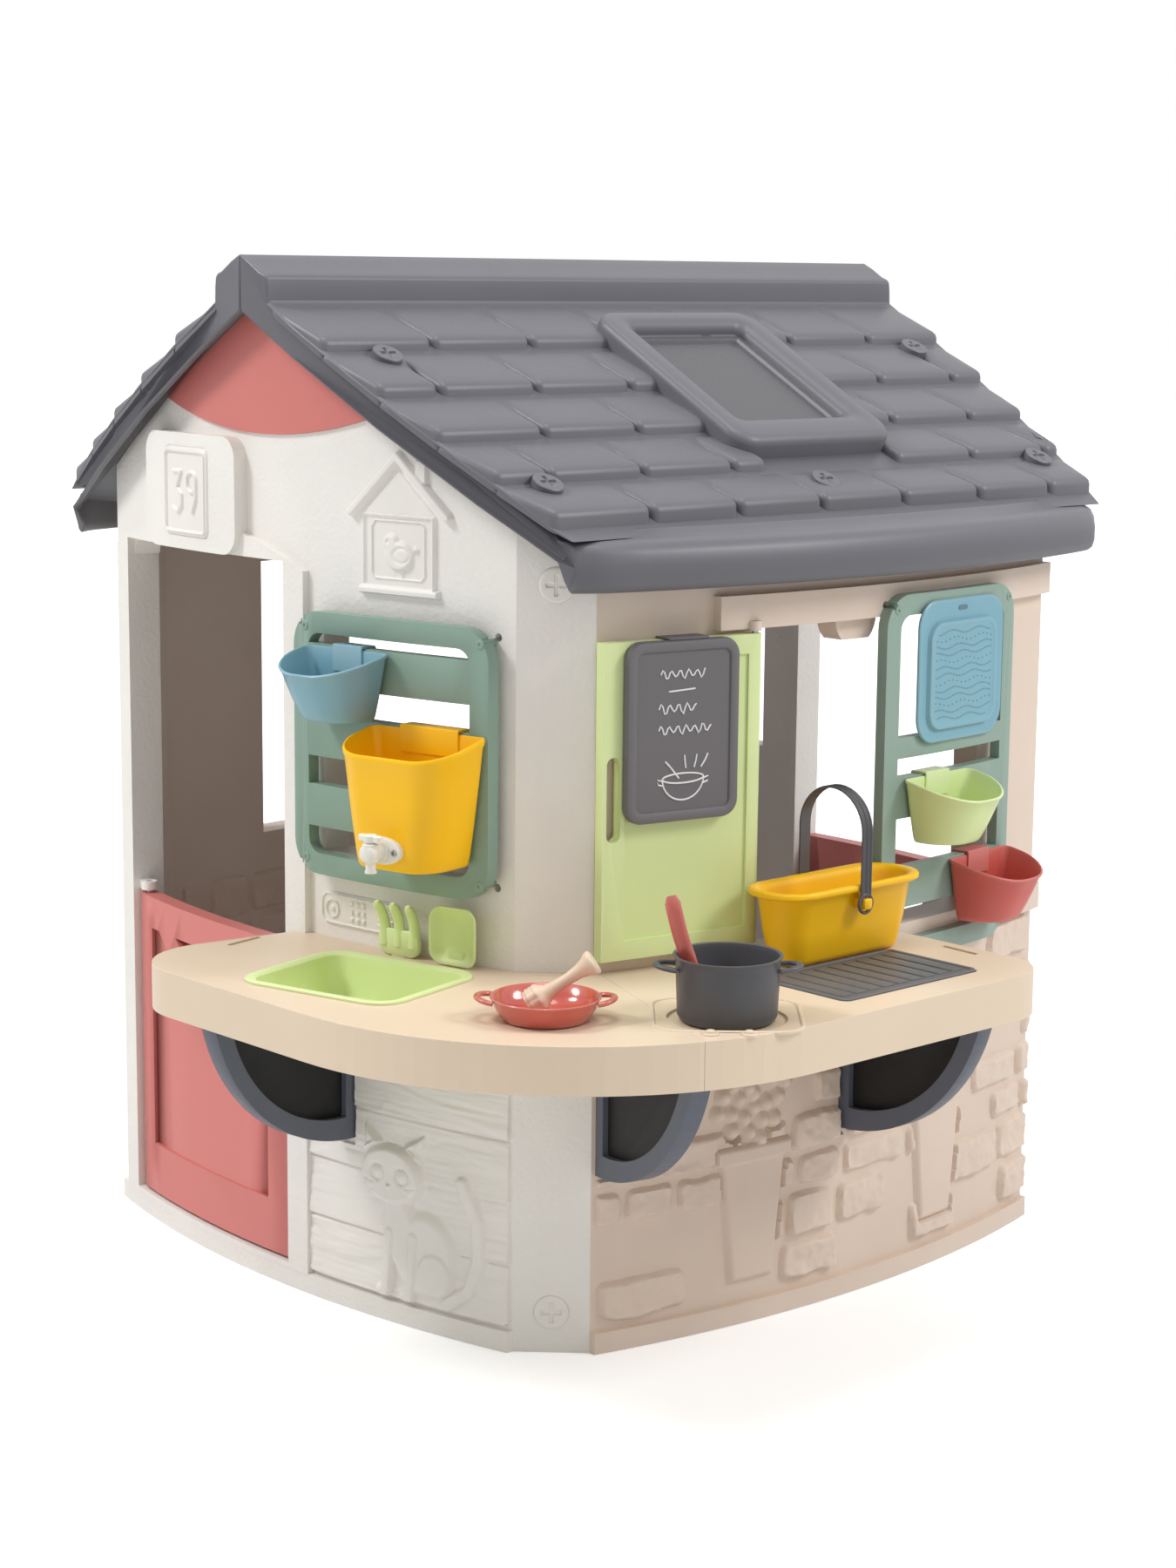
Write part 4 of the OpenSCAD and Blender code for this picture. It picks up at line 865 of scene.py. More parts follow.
def birdhouse(side):
    def height(U, Z):
        cx = 0.2475
        roof = np.minimum(d_bar(U, Z, (cx, 1.107), (0.170, 1.036), 0.0085),
                          d_bar(U, Z, (cx, 1.107), (0.325, 1.036), 0.0085))
        box = d_box(U, Z, cx, 0.990, 0.060, 0.048, 0.004)
        gable = d_tri(U, Z, (cx - 0.060, 1.036), (cx + 0.060, 1.036), (cx, 1.091))
        house = np.minimum(box, gable)
        h = raised(house, 0.0022, 0.002)
        h = lift(h, np.abs(box + 0.004) - 0.0035, 0.0052, 0.003)
        h = lift(h, roof, 0.0085, 0.005)
        chimney = d_box(U, Z, 0.285, 1.090, 0.010, 0.016, 0.002)
        h = lift(h, np.where(Z > 1.085 - (U - cx) * 0.9, chimney, 1), 0.006, 0.003)
        window = d_box(U, Z, cx, 0.992, 0.043, 0.036, 0.010)
        h = lift(h, np.abs(window) - 0.0022, 0.0045, 0.002)
        bird = np.minimum(d_oval(U, Z, cx + 0.002, 0.985, 0.027, 0.022),
                          d_oval(U, Z, cx - 0.011, 1.000, 0.016, 0.015))
        bird = np.minimum(bird, d_tri(U, Z, (cx + 0.018, 0.980), (cx + 0.040, 0.995),
                                      (cx + 0.026, 1.004)))
        bird = np.minimum(bird, d_tri(U, Z, (cx - 0.036, 1.000), (cx - 0.024, 0.996),
                                      (cx - 0.024, 1.006)))
        b = raised(bird, 0.0075, 0.007)
        b = groove(b, d_oval(U, Z, cx + 0.008, 0.986, 0.013, 0.009), 0.0014, 0.0016)
        b = groove(b, np.hypot(U - cx + 0.014, Z - 1.003), 0.0022, 0.0025)
        h = np.maximum(h, b)
        for x in (cx - 0.006, cx + 0.008):
            h = lift(h, d_bar(U, Z, (x, 0.966), (x, 0.958), 0.0016), 0.004, 0.0014)
        shelf = d_box(U, Z, cx, 0.941, 0.066, 0.006, 0.003)
        return lift(h, shelf, 0.0075, 0.003)
    relief(f"birdhouse_{side}", side, 0.155, 0.340, 0.930, 1.124, 0.00165, height, WHITE_SMOOTH)


def keypad(side):
    def height(U, Z):
        plate = d_box(U, Z, 0.180, 0.526, 0.072, 0.0225, 0.015)
        h = raised(plate, 0.0018, 0.0015)
        h = lift(h, np.abs(plate + 0.004) - 0.0016, 0.0040, 0.0015)
        button = np.hypot(U - 0.131, Z - 0.526)
        h = lift(h, np.abs(button - 0.011) - 0.0016, 0.0045, 0.0015)
        h = lift(h, button - 0.0055, 0.0045, 0.003)
        for i in range(3):
            for j in range(3):
                key = d_box(U, Z, 0.166 + i * 0.0105, 0.5365 - j * 0.0105, 0.0037, 0.0037, 0.001)
                h = lift(h, key, 0.0045, 0.0015)
        for j in range(4):
            slot = d_bar(U, Z, (0.212, 0.5365 - j * 0.007), (0.238, 0.5365 - j * 0.007), 0.0014)
            h = lift(h, slot, 0.0042, 0.001)
        return h
    relief(f"keypad_{side}", side, 0.105, 0.255, 0.500, 0.552, 0.0010, height, WHITE_SMOOTH)


def number_plaque():
    mid, low, high = -0.1575, 0.9825, 1.1005

    def height(U, Z):
        plate = d_box(U, Z, mid, (low + high) / 2, 0.056, 0.059, 0.012)
        h = raised(plate, 0.0030, 0.003)
        h = np.where(plate < -0.008, 0.0012, h)
        h = lift(h, np.abs(plate + 0.006) - 0.003, 0.0048, 0.002)
        z = (low + high) / 2
        three = np.minimum(
            d_chain(U, Z, [(mid - 0.030, z + 0.026), (mid - 0.009, z + 0.026),
                           (mid - 0.020, z + 0.005)], 0.0035),
            d_chain(U, Z, [(mid - 0.020, z + 0.005), (mid - 0.008, z - 0.004),
                           (mid - 0.008, z - 0.019),
                           (mid - 0.018, z - 0.028), (mid - 0.031, z - 0.022)], 0.0035))
        nine = np.minimum(np.abs(d_box(U, Z, mid + 0.018, z + 0.013, 0.011, 0.013, 0.010)) - 0.0035,
                          d_chain(U, Z, [(mid + 0.029, z + 0.014), (mid + 0.028, z - 0.008),
                                         (mid + 0.020, z - 0.026)], 0.0035))
        return lift(h, np.minimum(three, nine), 0.0050, 0.0022)
    relief("number_plaque_face", "front", mid - 0.058, mid + 0.058, low - 0.002, high + 0.002,
           0.0012, height,
           WHITE_SMOOTH, base=0.020, node="number_plaque")


PLANTERS = [(-0.185, 0.052), (0.170, 0.060)]


def planter(U, Z, u, base):
    rim = base + 0.180
    t = np.clip((Z - base) / (rim - base), 0, 1)
    pot = np.maximum(np.abs(U - u) - (0.038 + 0.020 * t),
                     np.abs(Z - (base + rim) / 2) - (rim - base) / 2)
    h = raised(pot, 0.0085, 0.010)
    band = d_box(U, Z, u, rim - 0.008, 0.064, 0.014, 0.006)
    h = lift(h, band, 0.0105, 0.006)
    bumps = []
    for k in range(26):
        a = 2.399963 * k
        r = 0.0115 * math.sqrt(k)
        bumps.append(np.hypot(U - u - r * math.cos(a) * 1.02,
                              Z - rim - 0.070 - r * math.sin(a) * 1.15))
    bush = np.minimum.reduce(bumps)
    leaf = np.where(Z > rim + 0.002, raised(bush - 0.0150, 0.0105, 0.012), 0)
    return np.maximum(h, leaf)


def stone_field(U, Z, seed, gaps):
    """Rough-hewn blocks in loose courses, with some places left plain."""
    rng = random.Random(seed)
    wu = U + 0.010 * (fractal(U * 22, Z * 22, seed, 3) - 0.5)
    wz = Z + 0.010 * (fractal(U * 22 + 9, Z * 22 + 4, seed + 5, 3) - 0.5)
    h = np.zeros_like(U)
    z = 0.034
    while z < 0.43:
        tall = rng.uniform(0.046, 0.070)
        u = -0.42 + rng.uniform(-0.05, 0.02)
        while u < 0.42:
            wide = rng.uniform(0.075, 0.150)
            keep = rng.random() > gaps
            if keep:
                d = d_box(wu, wz, u + wide / 2, z + tall / 2, wide / 2 - 0.004, tall / 2 - 0.004,
                          0.012)
                h = lift(h, d, rng.uniform(0.0065, 0.0095), 0.0055)
            u += wide
        z += tall
    rough = fractal(U * 48, Z * 48, seed + 9, 4) - 0.5
    return np.where(h > 0.0008, np.maximum(h + 0.0080 * rough * np.clip(h / 0.005, 0, 1), 0.0006),
                    h)


def stones(side, seed):
    def height(U, Z):
        h = stone_field(U, Z, seed, 0.24)
        for u, base in PLANTERS:
            pot = planter(U, Z, u, base)
            h = np.where(pot > 0, pot, h)
        inside = (np.abs(U) < 0.416) & (Z > 0.030) & (Z < 0.446)
        return np.where(inside, h, 0) * bracket_clear(U, Z, side)
    relief(f"stones_{side}", side, -0.420, 0.420, 0.026, 0.450, 0.0026, height, BEIGE)


def inner_stones(side, seed):
    def height(U, Z):
        h = stone_field(U, Z, seed, 0.0)
        return np.where((np.abs(U) < 0.37) & (Z > 0.03) & (Z < 0.44), h * 0.8, 0)
    relief(f"inner_stones_{side}", side, -0.385, 0.385, 0.026, 0.446, 0.0034, height, BEIGE,
           base=-WALL_T, way=-1)


for wall in ("front", "rear"):
    plank_panel(wall)
    birdhouse(wall)
    keypad(wall)
number_plaque()
for wall, stone_seed in (("right", 5), ("left", 12)):
    stones(wall, stone_seed)
    inner_stones(wall, stone_seed + 30)


# ---------- rounded upper corners of the doorways ----------
def doorway_corner(side, end, corner_u, into):
    """The fillet between a doorway's lintel and jamb; into is the way along u into the doorway."""
    radius, steps, buried, short = 0.024, 8, 0.003, 0.0015
    outline = [(corner_u - into * buried, DOOR_TOP + buried),
               (corner_u + into * radius, DOOR_TOP + buried)]
    for i in range(steps + 1):
        a = math.pi / 2 * i / steps
        outline.append((corner_u + into * radius * (1 - math.sin(a)),
                        DOOR_TOP - radius * (1 - math.cos(a))))
    outline.append((corner_u - into * buried, DOOR_TOP - radius))
    bm = bmesh.new()
    loft(bm, [[Vector((*wall_point(side, u, off), z)) for u, z in outline]
              for off in (-short, short - WALL_T)])
    piece(f"doorway_corner_{side}_{end}", bm, WHITE_SMOOTH)


for wall in ("front", "rear"):
    doorway_corner(wall, "outer", DOOR_U[0], 1)
    doorway_corner(wall, "inner", DOOR_U[1], -1)


# ---------- fittings ----------
def corner_screw_heads():
    """Wide plastic screw heads on the chamfered pillars."""
    reach = (WALL_CHORD + WALL_HALF) / math.sqrt(2)
    bm = bmesh.new()
    out = reach + 0.0015
    for turn in (45, 135, 225, 315):
        a = math.radians(turn)
        for z in (0.052, 0.962):
            m = Matrix.Translation((CX + math.sin(a) * out, CY - math.cos(a) * out, z))
            m = m @ Matrix.Rotation(a, 4, "Z") @ Matrix.Rotation(math.pi / 2, 4, "X")
            cross_screw(bm, 0.022, 0.005, m)
    piece("corner_screw_heads", bm, WHITE_SMOOTH, node="corner_screws")


def trellis_plug_heads():
    """Small flat plugs in the corners of both trellises."""
    rail, proud = 0.027, 0.030
    bm = bmesh.new()
    for side, u, bottom, wide, tall in (("front", 0.252, 0.575, 0.319, 0.335),
                                        ("right", 0.147, 0.445, 0.284, 0.483)):
        for sx in (-1, 1):
            for z in (bottom + rail / 2 + 0.006, bottom + tall - rail / 2 - 0.006):
                place = wall_matrix(side, u + sx * ((wide - rail) / 2 - 0.006), proud, z)
                place = place @ Matrix.Rotation(math.pi / 2, 4, "X")
                lathe(bm, [(0.0050, -0.040), (0.0050, -0.002), (0.0060, -0.001), (0.0060, 0.0004),
                           (0.0052, 0.0011), (0.0020, 0.0011), (0.0016, 0.0002)], 24, place)
    piece("trellis_plug_heads", bm, SAGE, node="trellis_plugs")


def bracket_web_shade(node):
    """A near-black sheet in a quarter-round bracket's recessed web, painting the shade that falls
    there.
    """
    side, u = BRACKETS[node]
    top = COUNTER_Z - DECK_T - 0.017
    r = BRACKET_R - 0.047
    bm = bmesh.new()
    outline = [Vector((0, -0.0185, top))]
    for k in range(25):
        a = math.radians(90 * k / 24)
        outline.append(Vector((0, -0.0185 - r * math.cos(a), top - r * math.sin(a))))
    rings = []
    for x, shrink in ((-0.0058, 0.0015), (-0.0052, 0.0), (0.0052, 0.0), (0.0058, 0.0015)):
        centre = Vector((0, -0.0185 - r * 0.42, top - r * 0.42))
        shift = Vector((x, 0, 0))
        rings.append([centre + (p - centre) * (1 - shrink / r) + shift for p in outline])
    loft(bm, rings)
    piece(node + "_web", bm, BRACKET_WEB_SHADE, place=wall_matrix(side, u))


# ---------- counter ----------
def hob():
    """The raised outline of the cooking plate, with two little knobs beside it."""
    bm = bmesh.new()
    outline = round_rect(0.176, 0.160, 0.036, 8)
    rings = []
    for inset, z in ((0.0, -0.002), (0.0, 0.0006), (0.0012, 0.0016), (0.0036, 0.0016),
                     (0.0048, 0.0006),
                     (0.0048, -0.002)):
        rings.append(at_z(inset_ring(outline, inset), z, (0, 0.012)))
    closed_loft(bm, rings)
    for x in (-0.022, 0.022):
        knob = Matrix.Translation((x, -0.078, -0.001))
        lathe(bm, [(0.010, 0), (0.010, 0.0026), (0.009, 0.0036), (0.0062, 0.0036), (0.0058, 0.0056),
                   (0.0040, 0.0066)], 28, knob)
    piece("hob_outline", bm, TAN, place=POT_PLACE)


def drain_ribs():
    """Raised ribs along the draining plate."""
    lo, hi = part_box("drain_plate")
    bm = bmesh.new()
    outline = round_rect(hi[0] - lo[0], hi[1] - lo[1], 0.012)
    rim = ((0, -0.004), (0, 0.0012), (0.0012, 0.0022), (0.006, 0.0022), (0.0075, 0.0008))
    loft(bm, [at_z(inset_ring(outline, inset), z) for inset, z in rim])
    count, wide = 9, 0.0070
    for k in range(count):
        y = (k - (count - 1) / 2) * 0.0250
        bar = round_rect(hi[0] - lo[0] - 0.034, 0.0205, wide / 2)
        slab(bm, [(x, y + v) for x, v in bar], -0.001, 0.0022, 0.0010)
    place = Matrix.Translation(((lo[0] + hi[0]) / 2, (lo[1] + hi[1]) / 2, hi[2]))
    piece("drain_plate_top", bm, DRAIN_GREY, node="drain_plate", place=place)


def basin():
    """A rounded bowl that hangs in the counter by its flange."""
    half_l, half_w, depth, flange, wall = 0.232, 0.196, 0.054, 0.010, 0.0025
    rim = round_rect(half_l, half_w, 0.036, 10)
    hole = round_rect(half_l - 2 * flange, half_w - 2 * flange, 0.028, 10)
    steps = [(hole, 0.012, -depth + 0.0005), (hole, 0.004, -depth + 0.003),
             (hole, 0.001, -depth + 0.010),
             (hole, 0.0, -0.004), (hole, 0.0, 0.0003), (rim, 0.0, 0.0003), (rim, 0.0, 0.0028),
             (rim, 0.0012, 0.0041), (rim, 0.0030, 0.0045), (rim, 0.0075, 0.0040),
             (hole, wall, 0.0010), (hole, wall + 0.001, -0.004),
             (hole, wall + 0.006, -depth + 0.016),
             (hole, wall + 0.009, -depth + 0.007), (hole, wall + 0.018, -depth + wall + 0.001),
             (hole, wall + 0.040, -depth + wall)]
    bm = bmesh.new()
    loft(bm, [at_z(inset_ring(shape, inset), z) for shape, inset, z in steps])
    piece("basin_bowl", bm, GREEN, body="basin", node="basin",
          place=BASIN_PLACE)


# ---------- cookware ----------
def ear(bm, sign, r, reach, z, wide=0.040):
    """A flat handle loop at the side of a round vessel."""
    path = []
    for k in range(13):
        a = math.radians(-90 + 180 * k / 12)
        path.append((sign * (r - 0.004 + reach * math.cos(a)), sign * wide / 2 * math.sin(a),
                     z + 0.003 * math.cos(a)))
    tube(bm, path, 0.0042, 10, 0.75)


def pot():
    r, h, foot, wall = 0.064, 0.078, 0.006, 0.0025
    z0 = -0.0027
    profile = [(0.030, z0), (r - foot - 0.010, z0), (r - foot - 0.003, z0 + 0.002),
               (r - foot, z0 + 0.008),
               (r - 0.0035, z0 + h - 0.012), (r - 0.003, z0 + h - 0.004),
               (r - 0.0008, z0 + h - 0.002),
               (r - 0.0002, z0 + h - 0.0006), (r - 0.0012, z0 + h),
               (r - wall - 0.002, z0 + h - 0.0008),
               (r - wall - 0.003, z0 + h - 0.006), (r - foot - wall, z0 + 0.012),
               (r - foot - 0.006, z0 + 0.005), (r - foot - 0.014, z0 + wall)]
    bm = bmesh.new()
    lathe(bm, profile, 64)
    for sign in (1, -1):
        ear(bm, sign, r - 0.001, 0.024, z0 + h - 0.016)
    piece("pot_body", bm, CHARCOAL, body="pot", node="pot", place=POT_PLACE,
          angle=50)


def pan():
    r, h, foot, wall = 0.065, 0.028, 0.014, 0.0025
    z0 = 0.0003
    profile = [(0.030, z0), (r - foot - 0.006, z0), (r - foot, z0 + 0.002),
               (r - 0.006, z0 + h * 0.55),
               (r - 0.002, z0 + h - 0.003), (r - 0.0004, z0 + h - 0.0012), (r - 0.0016, z0 + h),
               (r - 0.0045, z0 + h - 0.001), (r - 0.009, z0 + h * 0.55),
               (r - foot - 0.004, z0 + 0.006),
               (r - foot - 0.012, z0 + wall + 0.0006), (0.020, z0 + wall)]
    bm = bmesh.new()
    lathe(bm, profile, 64)
    for sign in (1, -1):
        ear(bm, sign, r - 0.001, 0.019, z0 + h - 0.005, 0.046)
    piece("pan_body", bm, CORAL_GLOSS, body="pan", node="pan", place=PAN_PLACE,
          angle=50)


def ladle():
    """A spoon bowl on a curved hollow handle, leaning on the pot's rim."""
    place = POT_PLACE @ Matrix.Translation((0, 0, 0.0221)) @ Matrix.Rotation(math.pi, 4, "Z")
    place = place @ Matrix.Rotation(math.radians(22), 4, "Y")

    def handle_at(t, out=0.0):
        """A point on the bowed handle, from the bowl at t = 0 to its tip at t = 1."""
        return 0.0205 + 0.006 * math.sin(math.pi * t) - 0.004 * t + out, 0, 0.002 + 0.134 * t

    bm = bmesh.new()
    r, wall = 0.022, 0.002
    turns = (0.3, 0.6, 0.9, 1.2, 1.5, 1.74)
    profile = [(r * math.sin(a), -r * math.cos(a)) for a in turns]
    profile += [((r - wall) * math.sin(a), -(r - wall) * math.cos(a)) for a in turns[::-1]]
    lathe(bm, profile, 36)
    path, radii = [], []
    for k in range(17):
        t = k / 16
        path.append(handle_at(t))
        radii.append(0.0050 + 0.0042 * min(1.0, 2.2 * t) - (0.0035 if k == 16 else 0))
    tube(bm, path, radii, 14, 0.62)
    piece("ladle_body", bm, CORAL_GLOSS, body="ladle", node="ladle",
          place=place)
    bm = bmesh.new()
    slot_path = [handle_at(t, 0.0028) for t in (0.80, 0.84, 0.88, 0.92)]
    tube(bm, slot_path, [0.0012, 0.0034, 0.0034, 0.0012], 12, 0.95)
    piece("ladle_slot", bm, CORAL, body="ladle", place=place)


def masher():
    """A turned masher whose head carries a waffle of little pyramids."""
    place = (PAN_PLACE @ Matrix.Translation((-0.020, 0, 0.0161))
             @ Matrix.Rotation(math.radians(55), 4, "Y"))
    profile = [(0.006, 0.0), (0.012, 0.0005), (0.0155, 0.0015), (0.0172, 0.0040)]
    profile += [(0.0175, 0.004 + 0.0019 * k) for k in range(1, 8)]
    profile += [(0.0165, 0.019), (0.0130, 0.0225), (0.0095, 0.0275), (0.0075, 0.040),
                (0.0070, 0.056),
                (0.0082, 0.070), (0.0108, 0.080), (0.0145, 0.0865), (0.0150, 0.0895),
                (0.0138, 0.0920),
                (0.0080, 0.0925)]
    steps = 60
    rings = []
    for r, z in profile:
        ring = []
        for k in range(steps):
            a = 2 * math.pi * k / steps
            waffle = 0
            if 0.003 < z < 0.0185:
                waffle = -0.0011 * (0.5 + 0.5 * math.cos(10 * a)) ** 3 - 0.0011 * (
                    0.5 + 0.5 * math.cos(2 * math.pi * (z - 0.004) / 0.0050)) ** 3
            ring.append(place @ Vector(((r + waffle) * math.cos(a), (r + waffle) * math.sin(a), z)))
        rings.append(ring)
    bm = bmesh.new()
    loft(bm, rings)
    piece("masher_body", bm, MASHER, body="masher", node="masher", angle=60)


# ---------- basket ----------
def basket():
    l, w = 0.266, 0.100
    z0 = 0.0003
    levels = [(0.050, 0.040, 0.0), (0.038, 0.030, 0.0004), (0.032, 0.024, 0.003),
              (0.029, 0.021, 0.009),
              (0.020, 0.014, 0.045), (0.0135, 0.009, 0.086), (0.010, 0.006, 0.089),
              (0.003, 0.0015, 0.0895),
              (0.0, 0.0, 0.0915), (0.0, 0.0, 0.0955), (0.002, 0.0015, 0.0975),
              (0.005, 0.0045, 0.098),
              (0.011, 0.009, 0.0972), (0.0155, 0.0125, 0.0945), (0.0185, 0.0150, 0.088),
              (0.026, 0.0200, 0.045), (0.034, 0.0270, 0.012), (0.042, 0.034, 0.0045),
              (0.060, 0.046, 0.003)]
    bm = bmesh.new()
    loft(bm, [at_z(round_rect(l - 2 * a, w - 2 * b, min(0.048, w / 2 - b - 0.002), 10), z0 + z)
              for a, b, z in levels])
    for sy in (-1, 1):
        outward = Matrix.Rotation(-sy * math.pi / 2, 4, "X")
        stud = Matrix.Translation((0, sy * 0.036, z0 + 0.074)) @ outward
        outline = round_rect(0.0135, 0.0135, 0.003, 3)
        loft(bm, [[stud @ Vector((x * s, y * s, z)) for x, y in outline]
                  for s, z in ((1, 0), (1, 0.0215), (0.85, 0.0225))])
    piece("basket_tub", bm, YELLOW, body="basket", node="basket",
          place=BASKET_PLACE, angle=45)
    handle = BASKET_PLACE @ Matrix.Translation((0, 0, z0 + 0.074))
    inner, t = 0.051, 0.003
    leg = 0.142 - inner - t
    mid_r = inner + t / 2
    path = [(mid_r, 0.002), (mid_r, leg * 0.5), (mid_r, leg)]
    path += [(mid_r * math.cos(math.radians(a)), leg + mid_r * math.sin(math.radians(a)))
             for a in range(9, 180, 9)]
    path += [(-mid_r, leg), (-mid_r, leg * 0.5), (-mid_r, 0.002)]
    bm = bmesh.new()
    section = [(-0.009, -0.0009), (-0.009, 0.0014), (-0.0072, 0.0022), (-0.0050, 0.0008),
               (-0.0022, 0.0008),
               (0.0, 0.0022), (0.0022, 0.0008), (0.0050, 0.0008), (0.0072, 0.0022), (0.009, 0.0014),
               (0.009, -0.0009)]
    rings = []
    for k, (y, z) in enumerate(path):
        a, b = path[max(k - 1, 0)], path[min(k + 1, len(path) - 1)]
        tangent = Vector((b[0] - a[0], b[1] - a[1])).normalized()
        out = Vector((tangent.y, -tangent.x))
        rings.append([Vector((x, y + out.x * d, z + out.y * d)) for x, d in section])
    loft(bm, rings)
    for sy in (-1, 1):
        outward = Matrix.Rotation(-sy * math.pi / 2, 4, "X")
        eye = Matrix.Translation((0, sy * (inner - 0.0002), 0)) @ outward
        eye_section = ((0.0100, 0.0), (0.0130, 0.0), (0.0138, 0.0010), (0.0138, 0.0026),
                       (0.0126, 0.0038),
                   (0.0104, 0.0038), (0.0096, 0.0030), (0.0096, 0.0005))
        closed_loft(bm, placed(eye, [circle(r, z, 32) for r, z in eye_section]))
    piece("basket_bail", bm, CHARCOAL, body="basket_handle", node="basket_handle",
          place=handle, angle=30)


# ---------- cups and dispenser ----------
def d_plan(w, d, front_r, back_r=0.012, steps=12):
    """A flat-backed plan with its back at y = 0 and its rounded front at y = -d."""
    front_r = min(front_r, w / 2 - 0.0005, d - back_r - 0.0005)

    def inner(i):
        moved = d_plan(w - 2 * i, d - 2 * i, front_r - i, max(back_r - i, 0.0015), steps)
        return [(x, y - i) for x, y in moved]
    points = Outline([], inner)
    for cx, cy, r, start in ((w / 2 - back_r, -back_r, back_r, 0),
                             (-w / 2 + back_r, -back_r, back_r, 90),
                             (-w / 2 + front_r, -d + front_r, front_r, 180),
                             (w / 2 - front_r, -d + front_r, front_r, 270)):
        for k in range(steps + 1):
            a = math.radians(start + 90 * k / steps)
            points.append((cx + r * math.cos(a), cy + r * math.sin(a)))
    return points


def hook(bm, w, top, off=0.0355):
    """A strip that rises from a cup's back, runs over a slat and turns down behind it."""
    line = [(-off, top - 0.030), (-off, top + 0.0006), (-off + 0.0012, top + 0.0030),
            (-0.0122, top + 0.0030), (-0.0096, top + 0.0016), (-0.0096, top - 0.010),
            (-0.0124, top - 0.010),
            (-0.0124, top + 0.0003), (-off + 0.0025, top + 0.0003), (-off + 0.0025, top - 0.030)]
    rings = [[Vector((x, y, z)) for y, z in line] for x in (-w / 2, w / 2)]
    loft(bm, rings)


def hanging_tub(name, side, u, top, mat, slot, w, d, h, narrow, dip, front_r, hook_w, shallow=None):
    """A tapered tub that hangs on a trellis slat, with a rim that dips towards its front."""
    shallow = narrow if shallow is None else shallow
    plan = d_plan(w, d, front_r)
    wall, back = 0.0025, -0.031
    levels = [(0.0, 0.018), (0.0, 0.010), (0.008, 0.0035), (0.030, 0.0008), (0.10, 0.0),
              (0.35, 0.0),
              (0.65, 0.0), (0.93, 0.0), (0.955, -0.0014), (0.985, -0.0016), (1.0, -0.0004),
              (1.0, wall - 0.0012), (0.97, wall), (0.65, wall), (0.35, wall), (0.12, wall + 0.0005),
              (0.06, wall + 0.004), (0.04, wall + 0.012), (0.04, wall + 0.022)]
    rings = []
    for t, inset in levels:
        sw, sd = narrow + (1 - narrow) * t ** 0.85, shallow + (1 - shallow) * t ** 0.85
        ring = []
        for x, y in inset_ring(plan, inset):
            front = min(1.0, max(0.0, -y / d))
            rim = top - dip * front ** 1.4
            ring.append(Vector((x * sw, back + min(y, 0.0) * sd, top - h + t * (rim - top + h))))
        rings.append(ring)
    bm = bmesh.new()
    loft(bm, rings)
    hook(bm, hook_w, top + 0.002)
    body = "house" if name == "dispenser" else name
    piece(name + "_tub", bm, mat, body=body, node=name, place=wall_matrix(side, u),
          angle=45)


def tap():
    """A white tap with an oval seat, a collar, a spout that points down and a wing handle."""
    seat = wall_matrix("front", 0.322) @ Matrix.Translation((0, -0.123, 0.645)) @ Matrix.Rotation(
        math.pi / 2, 4, "X")
    oval = [(p.x, p.y * 0.55) for p in circle(0.030, 0, 40)]
    bm = bmesh.new()
    slab(bm, oval, -0.010, 0.0043, 0.0016)
    lathe(bm, [(0.0140, 0.002), (0.0140, 0.0075), (0.0128, 0.0085), (0.0108, 0.0085),
               (0.0100, 0.012),
               (0.0100, 0.020), (0.0112, 0.0215), (0.0112, 0.0300), (0.0090, 0.0318)], 36)
    upright = Matrix.Translation((0, 0, 0.022)) @ Matrix.Rotation(math.pi / 2, 4, "X")
    lathe(bm, [(0.0088, -0.0120), (0.0100, -0.0110), (0.0100, 0.0080), (0.0080, 0.0110),
               (0.0062, 0.0125),
               (0.0062, 0.0200), (0.0074, 0.0220), (0.0074, 0.0240), (0.0040, 0.0240),
               (0.0038, 0.0180)],
          32, upright)
    piece("tap_spout", bm, TAP_WHITE, node="tap_body", place=seat, angle=40)
    bm = bmesh.new()
    turn = Matrix.Translation((0, 0.013, 0.022)) @ Matrix.Rotation(-math.pi / 2, 4, "X")
    lathe(bm, [(0.0050, -0.0090), (0.0050, 0.0), (0.0078, 0.0005), (0.0082, 0.0020),
               (0.0082, 0.0085),
               (0.0070, 0.0098), (0.0030, 0.0102)], 28, turn)
    wing = round_rect(0.0350, 0.0090, 0.0042, 6)
    loft(bm, placed(turn, [at_z(inset_ring(wing, inset), z) for inset, z in
                           ((0.0012, 0.0010), (0.0, 0.0022), (0.0, 0.0078), (0.0014, 0.0092))]))
    piece("tap_wing", bm, TAP_WHITE, body="tap_handle", node="tap_handle",
          place=seat)
    bm = bmesh.new()
    for sx in (-1, 1):
        cross_screw(bm, 0.0042, 0.004, seat @ Matrix.Translation((sx * 0.0215, 0, 0.0062)))
    piece("tap_screw_heads", bm, STEEL, node="tap_screws")


# ---------- garden tools, sieve and chalkboard ----------
def tool_neck(bm):
    outline = round_rect(0.026, 0.008, 0.0035, 4)
    loft(bm, [at_z(inset_ring(outline, i), z) for i, z in
              ((0.001, 0.4135), (0.0, 0.4145), (0.0, 0.4900), (0.0, 0.5060))])


